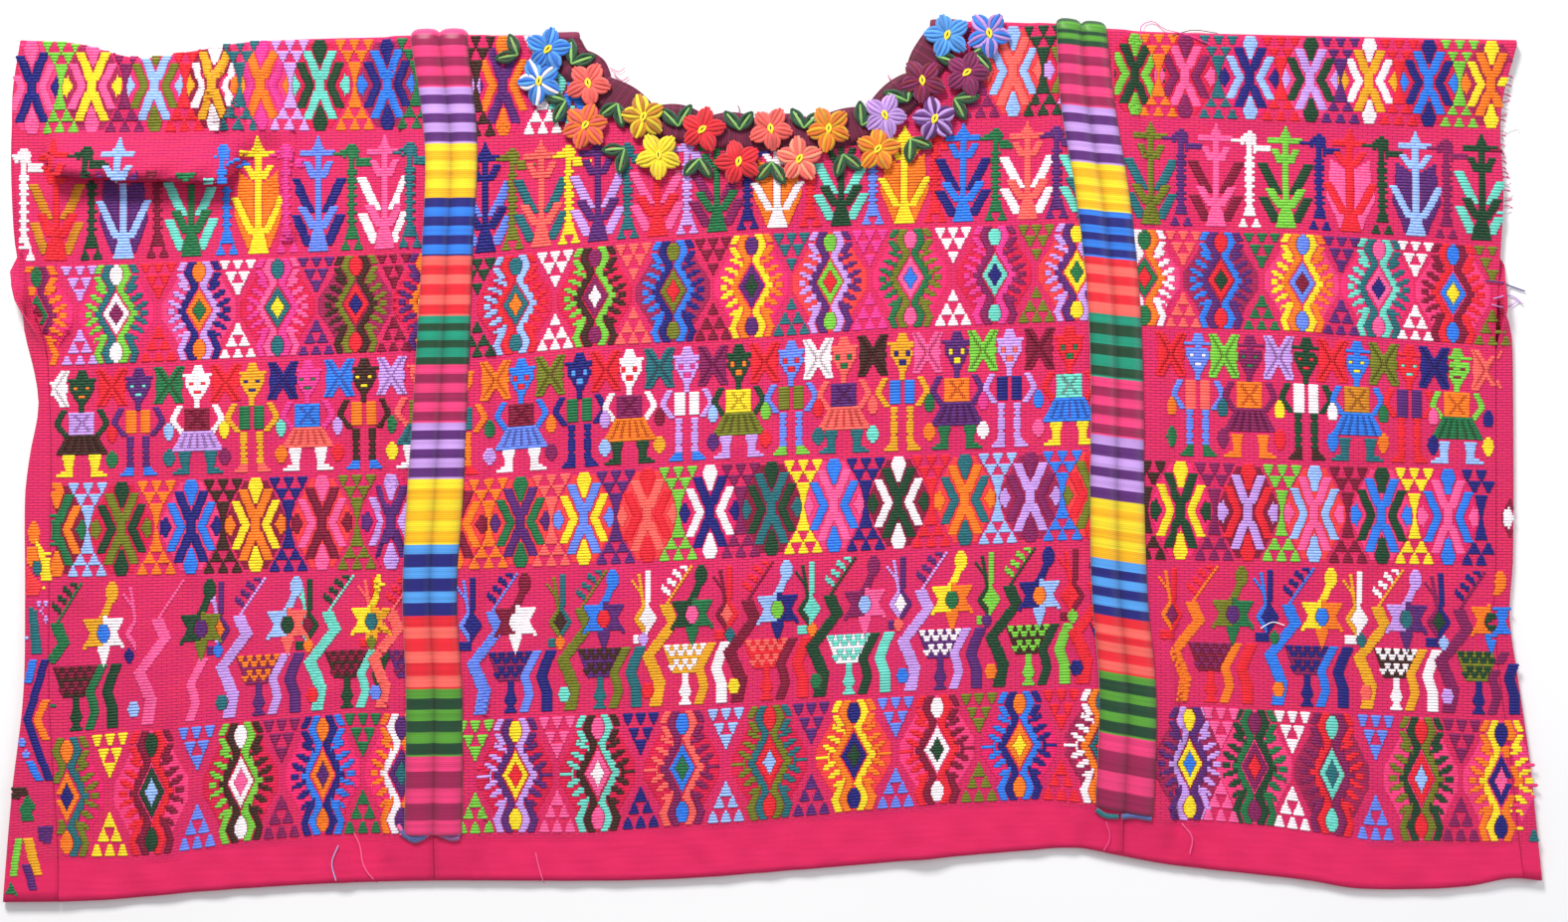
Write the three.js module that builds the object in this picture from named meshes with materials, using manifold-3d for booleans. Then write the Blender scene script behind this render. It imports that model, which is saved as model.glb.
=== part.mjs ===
import * as THREE from "three";
import { mergeVertices } from "three/addons/utils/BufferGeometryUtils.js";
import Module from "manifold-3d";

// A blouse of three brocaded lengths, laid flat on its back and seen from above. Each length is folded
// at the shoulder, so it has a front layer, a fold and a back layer. Two thick embroidered bands join
// the lengths, and a scalloped band with embroidered flowers and leaves finishes the neck. The side
// seams lie inboard, so the back layer turns over onto the front along both sides.
// Millimetres: X runs across the chest, Y towards the neck, Z up from the table.

// Driving sizes of the cloth
const clothThickness = 1.8;
const seamGap = 0.3;
const layerGap = 0.6;
const sideLayerGap = 1.6;
const foldRadius = 2.1;
const foldSteps = 4;
const foldFade = 30;
const hemBand = 0.055;
const armholeEnd = 56;
const armholeOpen = 112;
const armholeTurnBack = 8;

// Driving sizes of the joining bands, the neck band and the flowers
const bandHeight = 3.8;
const bandGroove = 1.9;
const bandPressed = 3.0;
const bandShoulder = 0.8;
const neckBandWidth = 16;
const neckBandThickness = 1.2;
const neckClothInset = 4;
const scallops = 8;
const scallopDepth = 3.5;
const flowerRadius = 12.4;
const flowerFoot = 5;
const flowerRise = 4.2;
const petalEdge = 0.8;
const leafRadius = 9.5;
const leafThickness = 1.3;
const trimSpacing = 0.49;

const named = (columns, rows) => {
  const names = columns.split(" ");
  return rows.map((row) => Object.fromEntries(names.map((name, i) => [name, row[i]])));
};

// Outlines read on the plan. The shoulder fold and the hem run from left to right.
const shoulderLine = named("at to", [
  [-425, 236], [-393, 234], [-359, 226], [-326, 230], [-295, 235], [-204, 238], [-109, 239],
  [89, 246], [154, 245], [187, 242], [237, 240], [422, 236],
]);
const hemLine = named("at to", [
  [-435, -251], [-380, -250], [-321, -245], [-277, -242], [-238, -240], [-190, -239], [-68, -238.5],
  [13, -233], [143, -222], [172, -220.5], [197, -225], [225, -230], [300, -238.5], [332, -243.5],
  [390, -242.5], [417, -237.5], [435, -239],
]);

// The sides run from the hem to the shoulder. The outer edge is the outermost line of the garment,
// and the front edge is the side seam below the armhole and the front's own edge above it.
const leftOuterEdge = named("at to", [
  [-250, -435], [-190, -430], [-134, -423.5], [-78, -422.5], [-22, -422.5], [0, -420], [34, -415],
  [90, -428], [129, -435], [202, -435], [236, -425],
]);
const leftFrontEdge = named("at to", [
  [-250, -403], [-224, -403], [-134, -408], [5, -407], [56, -409], [67, -411], [90, -419],
  [145, -427], [202, -429], [236, -424],
]);
const rightOuterEdge = named("at to", [
  [-239, 435], [-215, 432.5], [-168, 427.5], [-123, 421], [-90, 416.5], [-56, 418.5], [34, 418.5],
  [73, 417.5], [95, 414], [120, 415], [146, 417.5], [174, 413.5], [196, 415], [236, 422],
]);
const rightFrontEdge = named("at to", [
  [-240, 424], [-215, 421], [-168, 416], [-123, 410], [-90, 407], [-56, 408], [34, 408],
  [67, 408], [95, 409.5], [146, 412], [196, 411], [236, 420.5],
]);

// The seams lie under the middle of the two joining bands
const leftSeam = named("at to width", [
  [-215, -191, 33], [-134, -190.5, 32], [-78, -193, 31], [-22, -190, 32], [22, -187.5, 31],
  [73, -185, 30], [118, -183, 29], [176, -181, 30], [235, -187.5, 32],
]);
const rightSeam = named("at to width", [
  [-202, 198, 33], [-134, 200, 32.5], [-78, 195.5, 32], [-22, 194, 31], [34, 194, 30], [90, 192, 30],
  [146, 186, 31], [202, 177, 31], [244, 173.5, 28],
]);

// The open edge of the neck, from its left end at the fold, round the front, to its right end
const neckLine = named("x y", [
  [-107, 226], [-97, 220], [-86, 208], [-69, 198], [-46, 192.5], [-24, 189.5], [2, 188.5],
  [30, 189.5], [46, 193.5], [60, 200.5], [70, 209.5], [79, 221], [86, 232],
]);
const neckLeft = -109;
const neckRight = 89;

// The cloth round the neck lies flat, inside an ellipse about the middle of the neck
const neckFlat = { x: -10, y: 240, acrossRadius: 144, downRadius: 88, fade: 0.3 };

// Folds and swells of the front, each along a line from one point to another
const folds = named("x1 y1 x2 y2 halfWidth height", [
  [-401, 176, -309, 171, 12, 9],
  [-396, 198, -316, 196, 26, 5],
  [-292, 226, -286, 186, 15, 5],
  [-274, 186, -272, 128, 8, 2.6],
  [-409, 124, -404, 72, 10, 4],
  [-383, 120, -372, 60, 20, 1.6],
  [-330, 20, -230, 40, 40, 2],
  [-250, -130, -242, -236, 9, 2.4],
  [-330, -150, -380, -60, 34, 1.6],
  [-120, 40, -60, 90, 46, 1.8],
  [40, 60, 110, 30, 44, 1.6],
  [-80, -90, 30, -60, 42, 1.8],
  [60, -150, 90, -232, 18, 2.2],
  [-130, -160, -20, -190, 30, 1.4],
  [228, -150, 236, -226, 8, 2.6],
  [252, -20, 340, 20, 40, 2],
  [300, 130, 392, 150, 36, 2.2],
  [380, -80, 400, -170, 20, 1.8],
  [260, 196, 380, 204, 20, 1.8],
]);

// The narrow tucks beside the bands, each a ridge at a steady distance from its seam
const tucks = named("side distance from to height", [
  ["left", 24, -100, 190, 2.2],
  ["right", 24, -215, -90, 2.6],
]);

// Where the flowers and leaf pairs are worked on the front of the neck
const flowers = named("x y petals turn", [
  [-126, 229, 5, 10], [-131, 211, 5, 40], [-103.5, 210, 5, 65], [-105, 186.5, 6, 15],
  [-72.5, 191, 5, 30], [-64, 169.5, 5, 50], [-39.5, 184, 5, 5], [-19, 166, 5, 35],
  [-1, 184.5, 5, 60], [15, 167.5, 5, 20], [31.5, 184.5, 5, 45], [59, 173, 5, 10], [63, 192, 5, 70],
  [91, 190, 5, 25], [84, 211.5, 5, 55], [109, 216, 5, 0], [98, 237, 5, 30], [121.5, 238, 5, 60],
]);
const leafPairs = named("x y turn", [
  [-143, 226, 150], [-113, 221, 60], [-116, 200.5, 200], [-87, 199, 250], [-83, 173.5, 220],
  [-53, 186, 100], [-41, 168, 260], [-18.5, 184, 90], [-0.5, 166, 270], [17.5, 185, 80],
  [39.5, 170.5, 290], [50, 186.5, 60], [76, 200, 120], [77.5, 179, 300], [92, 225.5, 20],
  [102, 201.5, 330], [113, 227.5, 350],
]);

// The colours seen, for the plain materials
const colours = {
  magenta: 0xdc245c,
  plum: 0x8f2a68,
  burgundy: 0x6e1238,
  leaf: 0x2f6b3c,
  petals: [0x3f7fd6, 0xe8632c, 0xe2b52a, 0xd8303c, 0xe8738c, 0xa888d8],
};

const { lerp, smoothstep, clamp, degToRad } = THREE.MathUtils;

// A smooth curve through the rows of a table, level beyond its ends
function curve(rows, from = "at", to = "to") {
  const slope = (i) => {
    const before = rows[Math.max(i - 1, 0)];
    const after = rows[Math.min(i + 1, rows.length - 1)];
    return (after[to] - before[to]) / (after[from] - before[from]);
  };
  return (x) => {
    const at = clamp(x, rows[0][from], rows[rows.length - 1][from]);
    const i = clamp(rows.findIndex((row) => row[from] >= at) - 1, 0, rows.length - 2);
    const width = rows[i + 1][from] - rows[i][from];
    const t = (at - rows[i][from]) / width;
    const start = rows[i][to] * (1 + 2 * t) * (1 - t) ** 2 + slope(i) * width * t * (1 - t) ** 2;
    const end = rows[i + 1][to] * t * t * (3 - 2 * t) - slope(i + 1) * width * t * t * (1 - t);
    return start + end;
  };
}

const shoulderAt = curve(shoulderLine);
const hemAt = curve(hemLine);
const halfThickness = clothThickness / 2;
const foldOuter = foldRadius + halfThickness;
const flatTopAt = (x) => shoulderAt(x) - foldOuter;
const rowY = (x, row) => lerp(hemAt(x), flatTopAt(x), row);
const rowOf = (x, y) => (y - hemAt(x)) / (flatTopAt(x) - hemAt(x));

// The seams as places across the cloth, and the zone of level cloth under each joining band
const seams = [leftSeam, rightSeam].map((rows, i) => ({
  side: ["left", "right"][i],
  at: curve(rows),
  width: curve(rows, "at", "width"),
}));
const nearSeam = { fade: 32, tuck: 24 };

function seamRow(seam, row) {
  let x = seam.at(0);
  for (let pass = 0; pass < 3; pass++) x = seam.at(rowY(x, row));
  const y = rowY(x, row);
  return { x, y, half: seam.width(y) / 2 + bandShoulder };
}

// The place whose height a point takes: under a joining band it is the seam itself
function heightPlace(x, row) {
  for (const seam of seams) {
    const { x: seamX, half } = seamRow(seam, row);
    const away = Math.abs(x - seamX);
    if (away < nearSeam.fade) {
      const moved = (Math.max(0, away - half) * nearSeam.fade) / (nearSeam.fade - half);
      return seamX + Math.sign(x - seamX) * moved;
    }
  }
  return x;
}

function neckFlatness(x, y) {
  const reach = Math.hypot((x - neckFlat.x) / neckFlat.acrossRadius, (y - neckFlat.y) / neckFlat.downRadius);
  return 1 - smoothstep(reach, 1, 1 + neckFlat.fade);
}

// How far the back layer's underside is lifted by what lies below it
function backLift(x, row) {
  const hemFade = smoothstep(row, 0, hemBand);
  const overBands = seams.map((seam) => {
    const { x: seamX, half } = seamRow(seam, row);
    const away = Math.abs(x - seamX);
    return (bandPressed + seamGap) * (1 - smoothstep(away, half, nearSeam.fade)) * hemFade;
  });
  const overNeckBand = (neckBandThickness + seamGap) * neckFlatness(x, rowY(x, row));
  return Math.max(...overBands, overNeckBand);
}

function foldHeight(x, y, fold) {
  const along = new THREE.Vector2(fold.x2 - fold.x1, fold.y2 - fold.y1);
  const length = along.length();
  along.normalize();
  const from = new THREE.Vector2(x - fold.x1, y - fold.y1);
  const ahead = from.dot(along);
  const past = ahead < 0 ? -ahead : Math.max(0, ahead - length);
  const away = Math.hypot(from.cross(along), past) / fold.halfWidth;
  return away < 1 ? fold.height * Math.cos((away * Math.PI) / 2) ** 2 : 0;
}

function tuckHeight(x, row) {
  return tucks.reduce((sum, tuck) => {
    const seam = seams.find(({ side }) => side === tuck.side);
    const { x: seamX, y, half } = seamRow(seam, row);
    const outward = tuck.side === "left" ? seamX - x : x - seamX;
    const profile = outward < tuck.distance
      ? smoothstep(outward, half, tuck.distance)
      : 1 - smoothstep(outward, tuck.distance, nearSeam.fade);
    const ends = smoothstep(y, tuck.from, tuck.from + 30) * (1 - smoothstep(y, tuck.to - 30, tuck.to));
    return sum + tuck.height * profile * ends;
  }, 0);
}

// The front's free height over the back layer: the gap between the layers and the folds
function frontRise(x, row) {
  const place = heightPlace(x, row);
  const y = rowY(place, row);
  const fromFold = flatTopAt(place) - y;
  const edge = x < 0 ? curve(leftFrontEdge)(y) : curve(rightFrontEdge)(y);
  const fromEdge = Math.abs(place - edge);
  const flat = neckFlatness(place, y);
  const openGap = 2 * foldRadius - clothThickness;
  const atFold = Math.max(flat, 1 - smoothstep(fromFold, 0, foldFade));
  const atSide = 1 - smoothstep(fromEdge, 0, foldFade);
  const gap = lerp(lerp(layerGap, sideLayerGap, atSide), openGap, atFold);
  const sewn = (1 - smoothstep(fromEdge, 0, 15)) * (1 - smoothstep(y, armholeEnd, armholeEnd + 20));
  const free = smoothstep(fromFold, 0, 14) * (1 - flat) * (1 - sewn);
  const height = folds.reduce((sum, fold) => sum + foldHeight(place, y, fold), 0);
  return gap + free * (height + tuckHeight(x, row));
}

const liftAt = (x, row) => backLift(heightPlace(x, row), row);
const frontTop = (x, row) => liftAt(x, row) + 2 * clothThickness + frontRise(x, row);

// A point of the front, the shoulder fold or the back, at a height above the cloth's outer face
function frontPoint(x, row, out) {
  return [x, rowY(x, row), frontTop(x, row) + out];
}

function foldPoint(x, step, out) {
  const angle = Math.PI / 2 - (Math.PI * step) / foldSteps;
  const radius = foldOuter + out;
  const middle = liftAt(x, 1) + foldOuter;
  return [x, flatTopAt(x) + radius * Math.cos(angle), middle + radius * Math.sin(angle)];
}

function backPoint(x, row, out) {
  return [x, rowY(x, row), liftAt(x, row) - out];
}

// The rows of the cloth: front from the hem up, round the fold, and down the back
function even(from, to, count) {
  return Array.from({ length: count }, (_, i) => lerp(from, to, (i + 1) / count));
}

const frontRows = [0, hemBand, ...even(hemBand, 0.74, 15), ...even(0.74, 1, 10)];
const backRows = [1, 0.93, 0.86, 0.8, 0.75, 0.71, 0.67, 0.63, 0.56, 0.45, 0.32, 0.18, hemBand, 0];
const route = [
  ...frontRows.map((row) => ({ row, point: (x, out) => frontPoint(x, row, out), layer: "front" })),
  ...even(0, foldSteps, foldSteps).slice(0, -1).map((step) => (
    { row: 1, point: (x, out) => foldPoint(x, step, out), layer: "fold" }
  )),
  ...backRows.map((row) => ({ row, point: (x, out) => backPoint(x, row, out), layer: "back" })),
];

// A closed mesh whose faces point outwards
function closedGeometry(positions, index) {
  const geometry = new THREE.BufferGeometry();
  geometry.setAttribute("position", new THREE.Float32BufferAttribute(positions, 3));
  const corner = (i) => new THREE.Vector3().fromBufferAttribute(geometry.attributes.position, i);
  let volume = 0;
  for (let i = 0; i < index.length; i += 3) {
    const [a, b, c] = [corner(index[i]), corner(index[i + 1]), corner(index[i + 2])];
    volume += a.dot(b.cross(c));
  }
  geometry.setIndex(volume > 0 ? index : index.slice().reverse());
  return geometry;
}

// A wall between two matching grids of points, closed along its edges
function wall(rows) {
  const across = rows[0].length;
  const sheet = rows.length * across;
  const index = [];
  const quad = (a, b, c, d) => index.push(a, b, c, a, c, d);
  const rim = (a, b) => quad(a, b, b + sheet, a + sheet);
  for (let i = 0; i + 1 < rows.length; i++) {
    for (let j = 0; j + 1 < across; j++) {
      const a = i * across + j;
      quad(a, a + 1, a + 1 + across, a + across);
      quad(sheet + a, sheet + a + across, sheet + a + 1 + across, sheet + a + 1);
    }
    rim(i * across, (i + 1) * across);
    rim((i + 2) * across - 1, (i + 1) * across - 1);
  }
  for (let j = 0; j + 1 < across; j++) {
    rim(j + 1, j);
    rim(sheet - across + j, sheet - across + j + 1);
  }
  const points = [...rows.flat().map(({ outer }) => outer), ...rows.flat().map(({ inner }) => inner)];
  return closedGeometry(points.flat(), index);
}

// Matching closed sections joined in order, either capped at both ends or joined into a ring
function swept(sections, ring) {
  const size = sections[0].length;
  const index = [];
  const joins = ring ? sections.length : sections.length - 1;
  for (let i = 0; i < joins; i++) {
    const a = i * size;
    const b = ((i + 1) % sections.length) * size;
    for (let j = 0; j < size; j++) {
      const k = (j + 1) % size;
      index.push(a + j, a + k, b + k, a + j, b + k, b + j);
    }
  }
  if (!ring) {
    const outline = sections[0].map(([x, , z]) => new THREE.Vector2(x, z));
    const last = (sections.length - 1) * size;
    for (const [a, b, c] of THREE.ShapeUtils.triangulateShape(outline, [])) {
      const forward = THREE.ShapeUtils.isClockWise([outline[a], outline[b], outline[c]]);
      const [d, e, f] = forward === THREE.ShapeUtils.isClockWise(outline) ? [a, b, c] : [a, c, b];
      index.push(f, e, d, last + d, last + e, last + f);
    }
  }
  return closedGeometry(sections.flat(2), index);
}

const cloth = (point, x) => ({ outer: point(x, 0), inner: point(x, -clothThickness) });

// The columns beside a seam: its edge, the edge of the band's level zone, the tuck and the fade
function seamColumns(seam, row, side) {
  const { x, half } = seamRow(seam, row);
  return [nearSeam.fade, nearSeam.tuck, half, seamGap / 2].map((away) => x + side * away);
}

function edgeX(edge, row) {
  let x = edge(0);
  for (let pass = 0; pass < 3; pass++) x = edge(rowY(x, row));
  return x;
}

const sideColumns = 11;

// The back of a side length, whose outer margin turns up and over onto the front along the side seam.
// The turn opens above the armhole's end. Points are placed by their distance in from the free edge.
function backSection(panel, row) {
  const { inward, outerEdge, frontEdge, seam } = panel;
  const seamPlaces = seamColumns(seam, row, -inward);
  const outline = edgeX(outerEdge, row);
  const seamSide = edgeX(frontEdge, row);
  const y = rowY(outline, row);
  const turn = Math.PI * (1 - smoothstep(y, armholeEnd, armholeOpen));
  const radius = (clothThickness + frontRise(seamSide, row)) / 2;
  const bend = Math.PI * radius;
  const turned = Math.abs(seamSide - outline) - seamGap - radius - halfThickness;
  const strip = lerp(armholeTurnBack, turned, smoothstep(turn, 0, Math.PI));
  const bendIn = lerp(bend + strip, radius + halfThickness, smoothstep(turn, 0, Math.PI));
  const bendX = outline + inward * bendIn;
  const bendRadius = bend / Math.max(turn, 0.001);
  const middleZ = (x) => liftAt(x, row) + halfThickness;
  const pointAt = (fromEdge) => {
    const along = bend + strip - fromEdge;
    if (along <= 0) {
      const x = bendX - inward * along;
      return { x, z: middleZ(x), angle: 0 };
    }
    const angle = (turn * Math.min(along, bend)) / bend;
    const past = Math.max(0, along - bend);
    const x = bendX - inward * (bendRadius * Math.sin(angle) + past * Math.cos(angle));
    const z = middleZ(bendX) + bendRadius * (1 - Math.cos(angle)) + past * Math.sin(angle);
    return { x, z, angle };
  };
  const hooked = [0, strip / 2, strip, strip + bend / 4, strip + bend / 2, strip + (3 * bend) / 4, strip + bend];
  const flatStart = strip + bend;
  const flatEnd = Math.abs(seamPlaces[0] - bendX) + flatStart;
  const rest = even(flatStart, flatEnd, sideColumns + 1 - hooked.length).slice(0, -1);
  const spacedEvenly = Array.from({ length: sideColumns }, (_, i) => (flatEnd * i) / sideColumns);
  const settle = smoothstep(row, armholeRow + 0.02, 1);
  const places = [...hooked, ...rest].map((place, i) => pointAt(lerp(place, spacedEvenly[i], settle)));
  const inside = seamPlaces.map((x) => ({ x, z: middleZ(x), angle: 0 }));
  return [...places, ...inside].map(({ x, z, angle }) => {
    const across = inward * halfThickness * Math.sin(angle);
    const up = halfThickness * Math.cos(angle);
    const sectionY = rowY(x, row);
    return { outer: [x - across, sectionY, z - up], inner: [x + across, sectionY, z + up] };
  });
}

const armholeRow = rowOf(-425, armholeOpen);

function sidePanel(panel) {
  const rows = route.map(({ row, point, layer }) => {
    if (layer === "back") return backSection(panel, row);
    const edge = edgeX(panel.frontEdge, row);
    const besideSeam = seamColumns(panel.seam, row, -panel.inward);
    const spread = [edge, ...even(edge, besideSeam[0], sideColumns).slice(0, -1)];
    return [...spread, ...besideSeam].map((x) => cloth(point, x));
  });
  return wall(rows);
}

function centrePanel() {
  const rows = route.map(({ row, point }) => {
    const left = seamColumns(seams[0], row, 1).reverse();
    const right = seamColumns(seams[1], row, -1);
    const between = even(left[3], right[0], 10).slice(0, -1);
    return [...left, ...between, ...right].map((x) => cloth(point, x));
  });
  return wall(rows);
}

// The double roll over a seam, thick and round on the front and pressed flat under the back
function bandSection(width, pressed) {
  const half = [
    [0.5 - bandShoulder / width, 0], [0.5, 1.3], [0.4, 3.1], [0.25, bandHeight], [0.1, 3.1],
  ].map(([across, height]) => [across * width, height]);
  const mirrored = half.map(([across, height]) => [-across, height]).reverse();
  return [...half, [0, bandGroove], ...mirrored].map(([across, height]) => (
    [across, lerp(height, Math.min(height, bandPressed), pressed)]
  ));
}

function joiningBand(seam) {
  const stations = route.filter(({ row }) => row >= hemBand);
  const pressedBy = { front: 0, fold: 0.5, back: 1 };
  return swept(stations.map(({ row, point, layer }) => {
    const { x, y } = seamRow(seam, row);
    const section = bandSection(seam.width(y), pressedBy[layer]);
    return section.map(([across, height]) => point(x + across, seamGap + height));
  }), false);
}

// The open edge of the neck and its outward direction, in equal steps round the front
const neckCurve = new THREE.SplineCurve([
  new THREE.Vector2(neckLeft, flatTopAt(neckLeft)),
  ...neckLine.map(({ x, y }) => new THREE.Vector2(x, y)),
  new THREE.Vector2(neckRight, flatTopAt(neckRight)),
]);

function neckPlace(share) {
  const place = neckCurve.getPointAt(share);
  const ahead = neckCurve.getTangentAt(share);
  const level = smoothstep(Math.abs(share - 0.5), 0.46, 0.5);
  const outward = new THREE.Vector2(ahead.y, -ahead.x)
    .lerp(new THREE.Vector2(share < 0.5 ? -1 : 1, 0), level)
    .normalize();
  const lobe = Math.abs(Math.sin(Math.PI * scallops * share));
  return { place, outward, lobe };
}

function neckOutline(away, steps) {
  return Array.from({ length: steps + 1 }, (_, i) => {
    const { place, outward } = neckPlace(i / steps);
    return place.addScaledVector(outward, away);
  });
}

// The neck band: a flat strip round the neck, over the fold at both shoulders and along the back
function neckBand() {
  const widths = [0, neckClothInset + 1, neckBandWidth];
  const section = (place, outward, lobe, point) => {
    const at = (away, height) => {
      const inset = away === 0 ? -scallopDepth * lobe : away;
      const { x, y } = place.clone().addScaledVector(outward, inset);
      return point(x, y, seamGap + height);
    };
    const low = widths.map((away) => at(away, 0));
    const high = widths.map((away) => at(away, neckBandThickness)).reverse();
    return [...low, ...high];
  };
  const layerStations = (steps, point) => Array.from({ length: steps + 1 }, (_, i) => {
    const { place, outward, lobe } = neckPlace(i / steps);
    return section(place, outward, lobe, point);
  });
  const foldStations = (x, side) => even(0, foldSteps, foldSteps).slice(0, -1).map((step) => (
    section(new THREE.Vector2(x, 0), new THREE.Vector2(side, 0), 0, (at, _, out) => foldPoint(at, step, out))
  ));
  return swept([
    ...layerStations(scallops * 6, (x, y, out) => frontPoint(x, rowOf(x, y), out)),
    ...foldStations(neckRight, 1),
    ...layerStations(scallops * 3, (x, y, out) => backPoint(x, rowOf(x, y), out)).reverse(),
    ...foldStations(neckLeft, -1).reverse(),
  ], true);
}

// Solid cutting with the manifold library
const wasm = await Module();
wasm.setup();

function manifoldOf(geometry) {
  const bare = geometry.clone();
  bare.deleteAttribute("normal");
  bare.deleteAttribute("uv");
  const merged = mergeVertices(bare);
  return new wasm.Manifold(new wasm.Mesh({
    numProp: 3,
    vertProperties: merged.attributes.position.array,
    triVerts: new Uint32Array(merged.index.array),
  }));
}

function geometryOf(manifold) {
  const { vertProperties, triVerts } = manifold.getMesh();
  const geometry = new THREE.BufferGeometry();
  geometry.setAttribute("position", new THREE.BufferAttribute(vertProperties, 3));
  geometry.setIndex(new THREE.BufferAttribute(triVerts, 1));
  return geometry;
}

function cutNeck(geometry) {
  const edge = neckOutline(neckClothInset, 32);
  const above = 40;
  const outline = [
    ...edge,
    new THREE.Vector2(neckRight + neckClothInset, edge[edge.length - 1].y + above),
    new THREE.Vector2(neckLeft - neckClothInset, edge[0].y + above),
  ];
  const prism = new THREE.ExtrudeGeometry(new THREE.Shape(outline), { depth: above, bevelEnabled: false });
  prism.translate(0, 0, -above / 2);
  return geometryOf(manifoldOf(geometry).subtract(manifoldOf(prism)));
}

// How far a place lies outside the open edge of the neck
const neckSamples = neckOutline(0, 60);
const fromNeck = (x, y) => Math.min(...neckSamples.map((point) => Math.hypot(point.x - x, point.y - y)));

// Rings of points about an axis, with a closing point at the bottom and at the top
function ringed(bottom, rings, top) {
  const size = rings[0].length;
  const points = [bottom, ...rings.flat(), top];
  const index = [];
  for (let j = 0; j < size; j++) {
    const k = (j + 1) % size;
    index.push(0, 1 + k, 1 + j);
    for (let i = 0; i + 1 < rings.length; i++) {
      const a = 1 + i * size;
      const b = a + size;
      index.push(a + j, a + k, b + k, a + j, b + k, b + j);
    }
    const last = 1 + (rings.length - 1) * size;
    index.push(last + j, last + k, points.length - 1);
  }
  return closedGeometry(points.flat(), index);
}

const neckTop = (x, y) => frontTop(x, rowOf(x, y));

// The height of the worked face under the corners of a piece of trim: the neck band or the bare cloth
function trimBase(corners) {
  const onNeckBand = corners.some(([x, y]) => fromNeck(x, y) < neckBandWidth + 1);
  const [[x, y]] = corners;
  return neckTop(x, y) + (onNeckBand ? seamGap + neckBandThickness : 0) + seamGap;
}

// A flower: a foot on the neck, and a domed ring of petals that stands over the leaves beside it
function flower({ x, y, petals, turn }, radius) {
  const ground = neckTop(x, y) + 2 * seamGap + neckBandThickness;
  const underPetals = ground + leafThickness + seamGap;
  const ring = (ringRadius, height, lobed) => Array.from({ length: petals * 2 }, (_, i) => {
    const angle = degToRad(turn) + (Math.PI * i) / petals;
    const reach = ringRadius * (lobed && i % 2 ? 0.66 : 1);
    return [x + reach * Math.cos(angle), y + reach * Math.sin(angle), height];
  });
  const foot = trimBase(ring(flowerFoot, ground, false));
  return ringed([x, y, foot], [
    ring(flowerFoot, foot, false),
    ring(flowerFoot, underPetals, false),
    ring(radius, underPetals, true),
    ring(radius, underPetals + petalEdge, true),
    ring(radius * 0.62, ground + flowerRise, true),
  ], [x, y, ground + flowerRise - 0.6]);
}

// Two leaves side by side, joined at their stems
function leafPair({ x, y, turn }, radius) {
  const spread = 0.75;
  const outline = Array.from({ length: 12 }, (_, i) => {
    const angle = -Math.PI + (2 * Math.PI * (i + 0.5)) / 12;
    const lobe = Math.max(0, Math.cos(2.4 * (Math.abs(angle) - spread)));
    const reach = radius * (Math.abs(angle) < 1.4 ? 0.36 + 0.64 * lobe : 0.36);
    return [angle + degToRad(turn), reach];
  });
  const ring = (share, height) => outline.map(([angle, reach]) => (
    [x + share * reach * Math.cos(angle), y + share * reach * Math.sin(angle), height]
  ));
  const ground = trimBase(ring(1, 0));
  const middle = ground + leafThickness / 2;
  return ringed([x, y, ground], [ring(0.9, ground), ring(1, middle)], [x, y, ground + leafThickness]);
}

// The parts, each a named solid
const group = new THREE.Group();

function add(name, geometry, color, roughness = 0.85) {
  const material = new THREE.MeshStandardMaterial({ color, roughness, metalness: 0 });
  const mesh = new THREE.Mesh(geometry, material);
  mesh.name = name;
  group.add(mesh);
}

const nearest = (place, others) => Math.min(...others
  .filter((other) => other !== place)
  .map((other) => Math.hypot(other.x - place.x, other.y - place.y)));

add("left_panel", sidePanel({
  inward: 1,
  outerEdge: curve(leftOuterEdge),
  frontEdge: curve(leftFrontEdge),
  seam: seams[0],
}), colours.magenta);
add("centre_panel", cutNeck(centrePanel()), colours.magenta);
add("right_panel", sidePanel({
  inward: -1,
  outerEdge: curve(rightOuterEdge),
  frontEdge: curve(rightFrontEdge),
  seam: seams[1],
}), colours.magenta);
add("left_randa", joiningBand(seams[0]), colours.plum, 0.6);
add("right_randa", joiningBand(seams[1]), colours.plum, 0.6);
add("neck_band", neckBand(), colours.burgundy);
flowers.forEach((place, i) => {
  const radius = Math.min(flowerRadius, trimSpacing * nearest(place, flowers));
  const number = String(i + 1).padStart(2, "0");
  add(`flower_${number}`, flower(place, radius), colours.petals[i % colours.petals.length], 0.7);
});
leafPairs.forEach((place, i) => {
  const fromFlower = nearest(place, flowers) - flowerFoot - seamGap;
  const radius = Math.min(leafRadius, fromFlower, trimSpacing * nearest(place, leafPairs));
  add(`leaves_${String(i + 1).padStart(2, "0")}`, leafPair(place, radius), colours.leaf, 0.7);
});

// The origin is on the table, under the middle of the garment
const extent = new THREE.Box3().setFromObject(group);
const centre = extent.getCenter(new THREE.Vector3());
group.position.set(-centre.x, -centre.y, -extent.min.z);

export default group;
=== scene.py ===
import math
import random

import bmesh
import bpy
import numpy as np
from mathutils import Matrix, Vector
from mathutils.bvhtree import BVHTree


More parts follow.
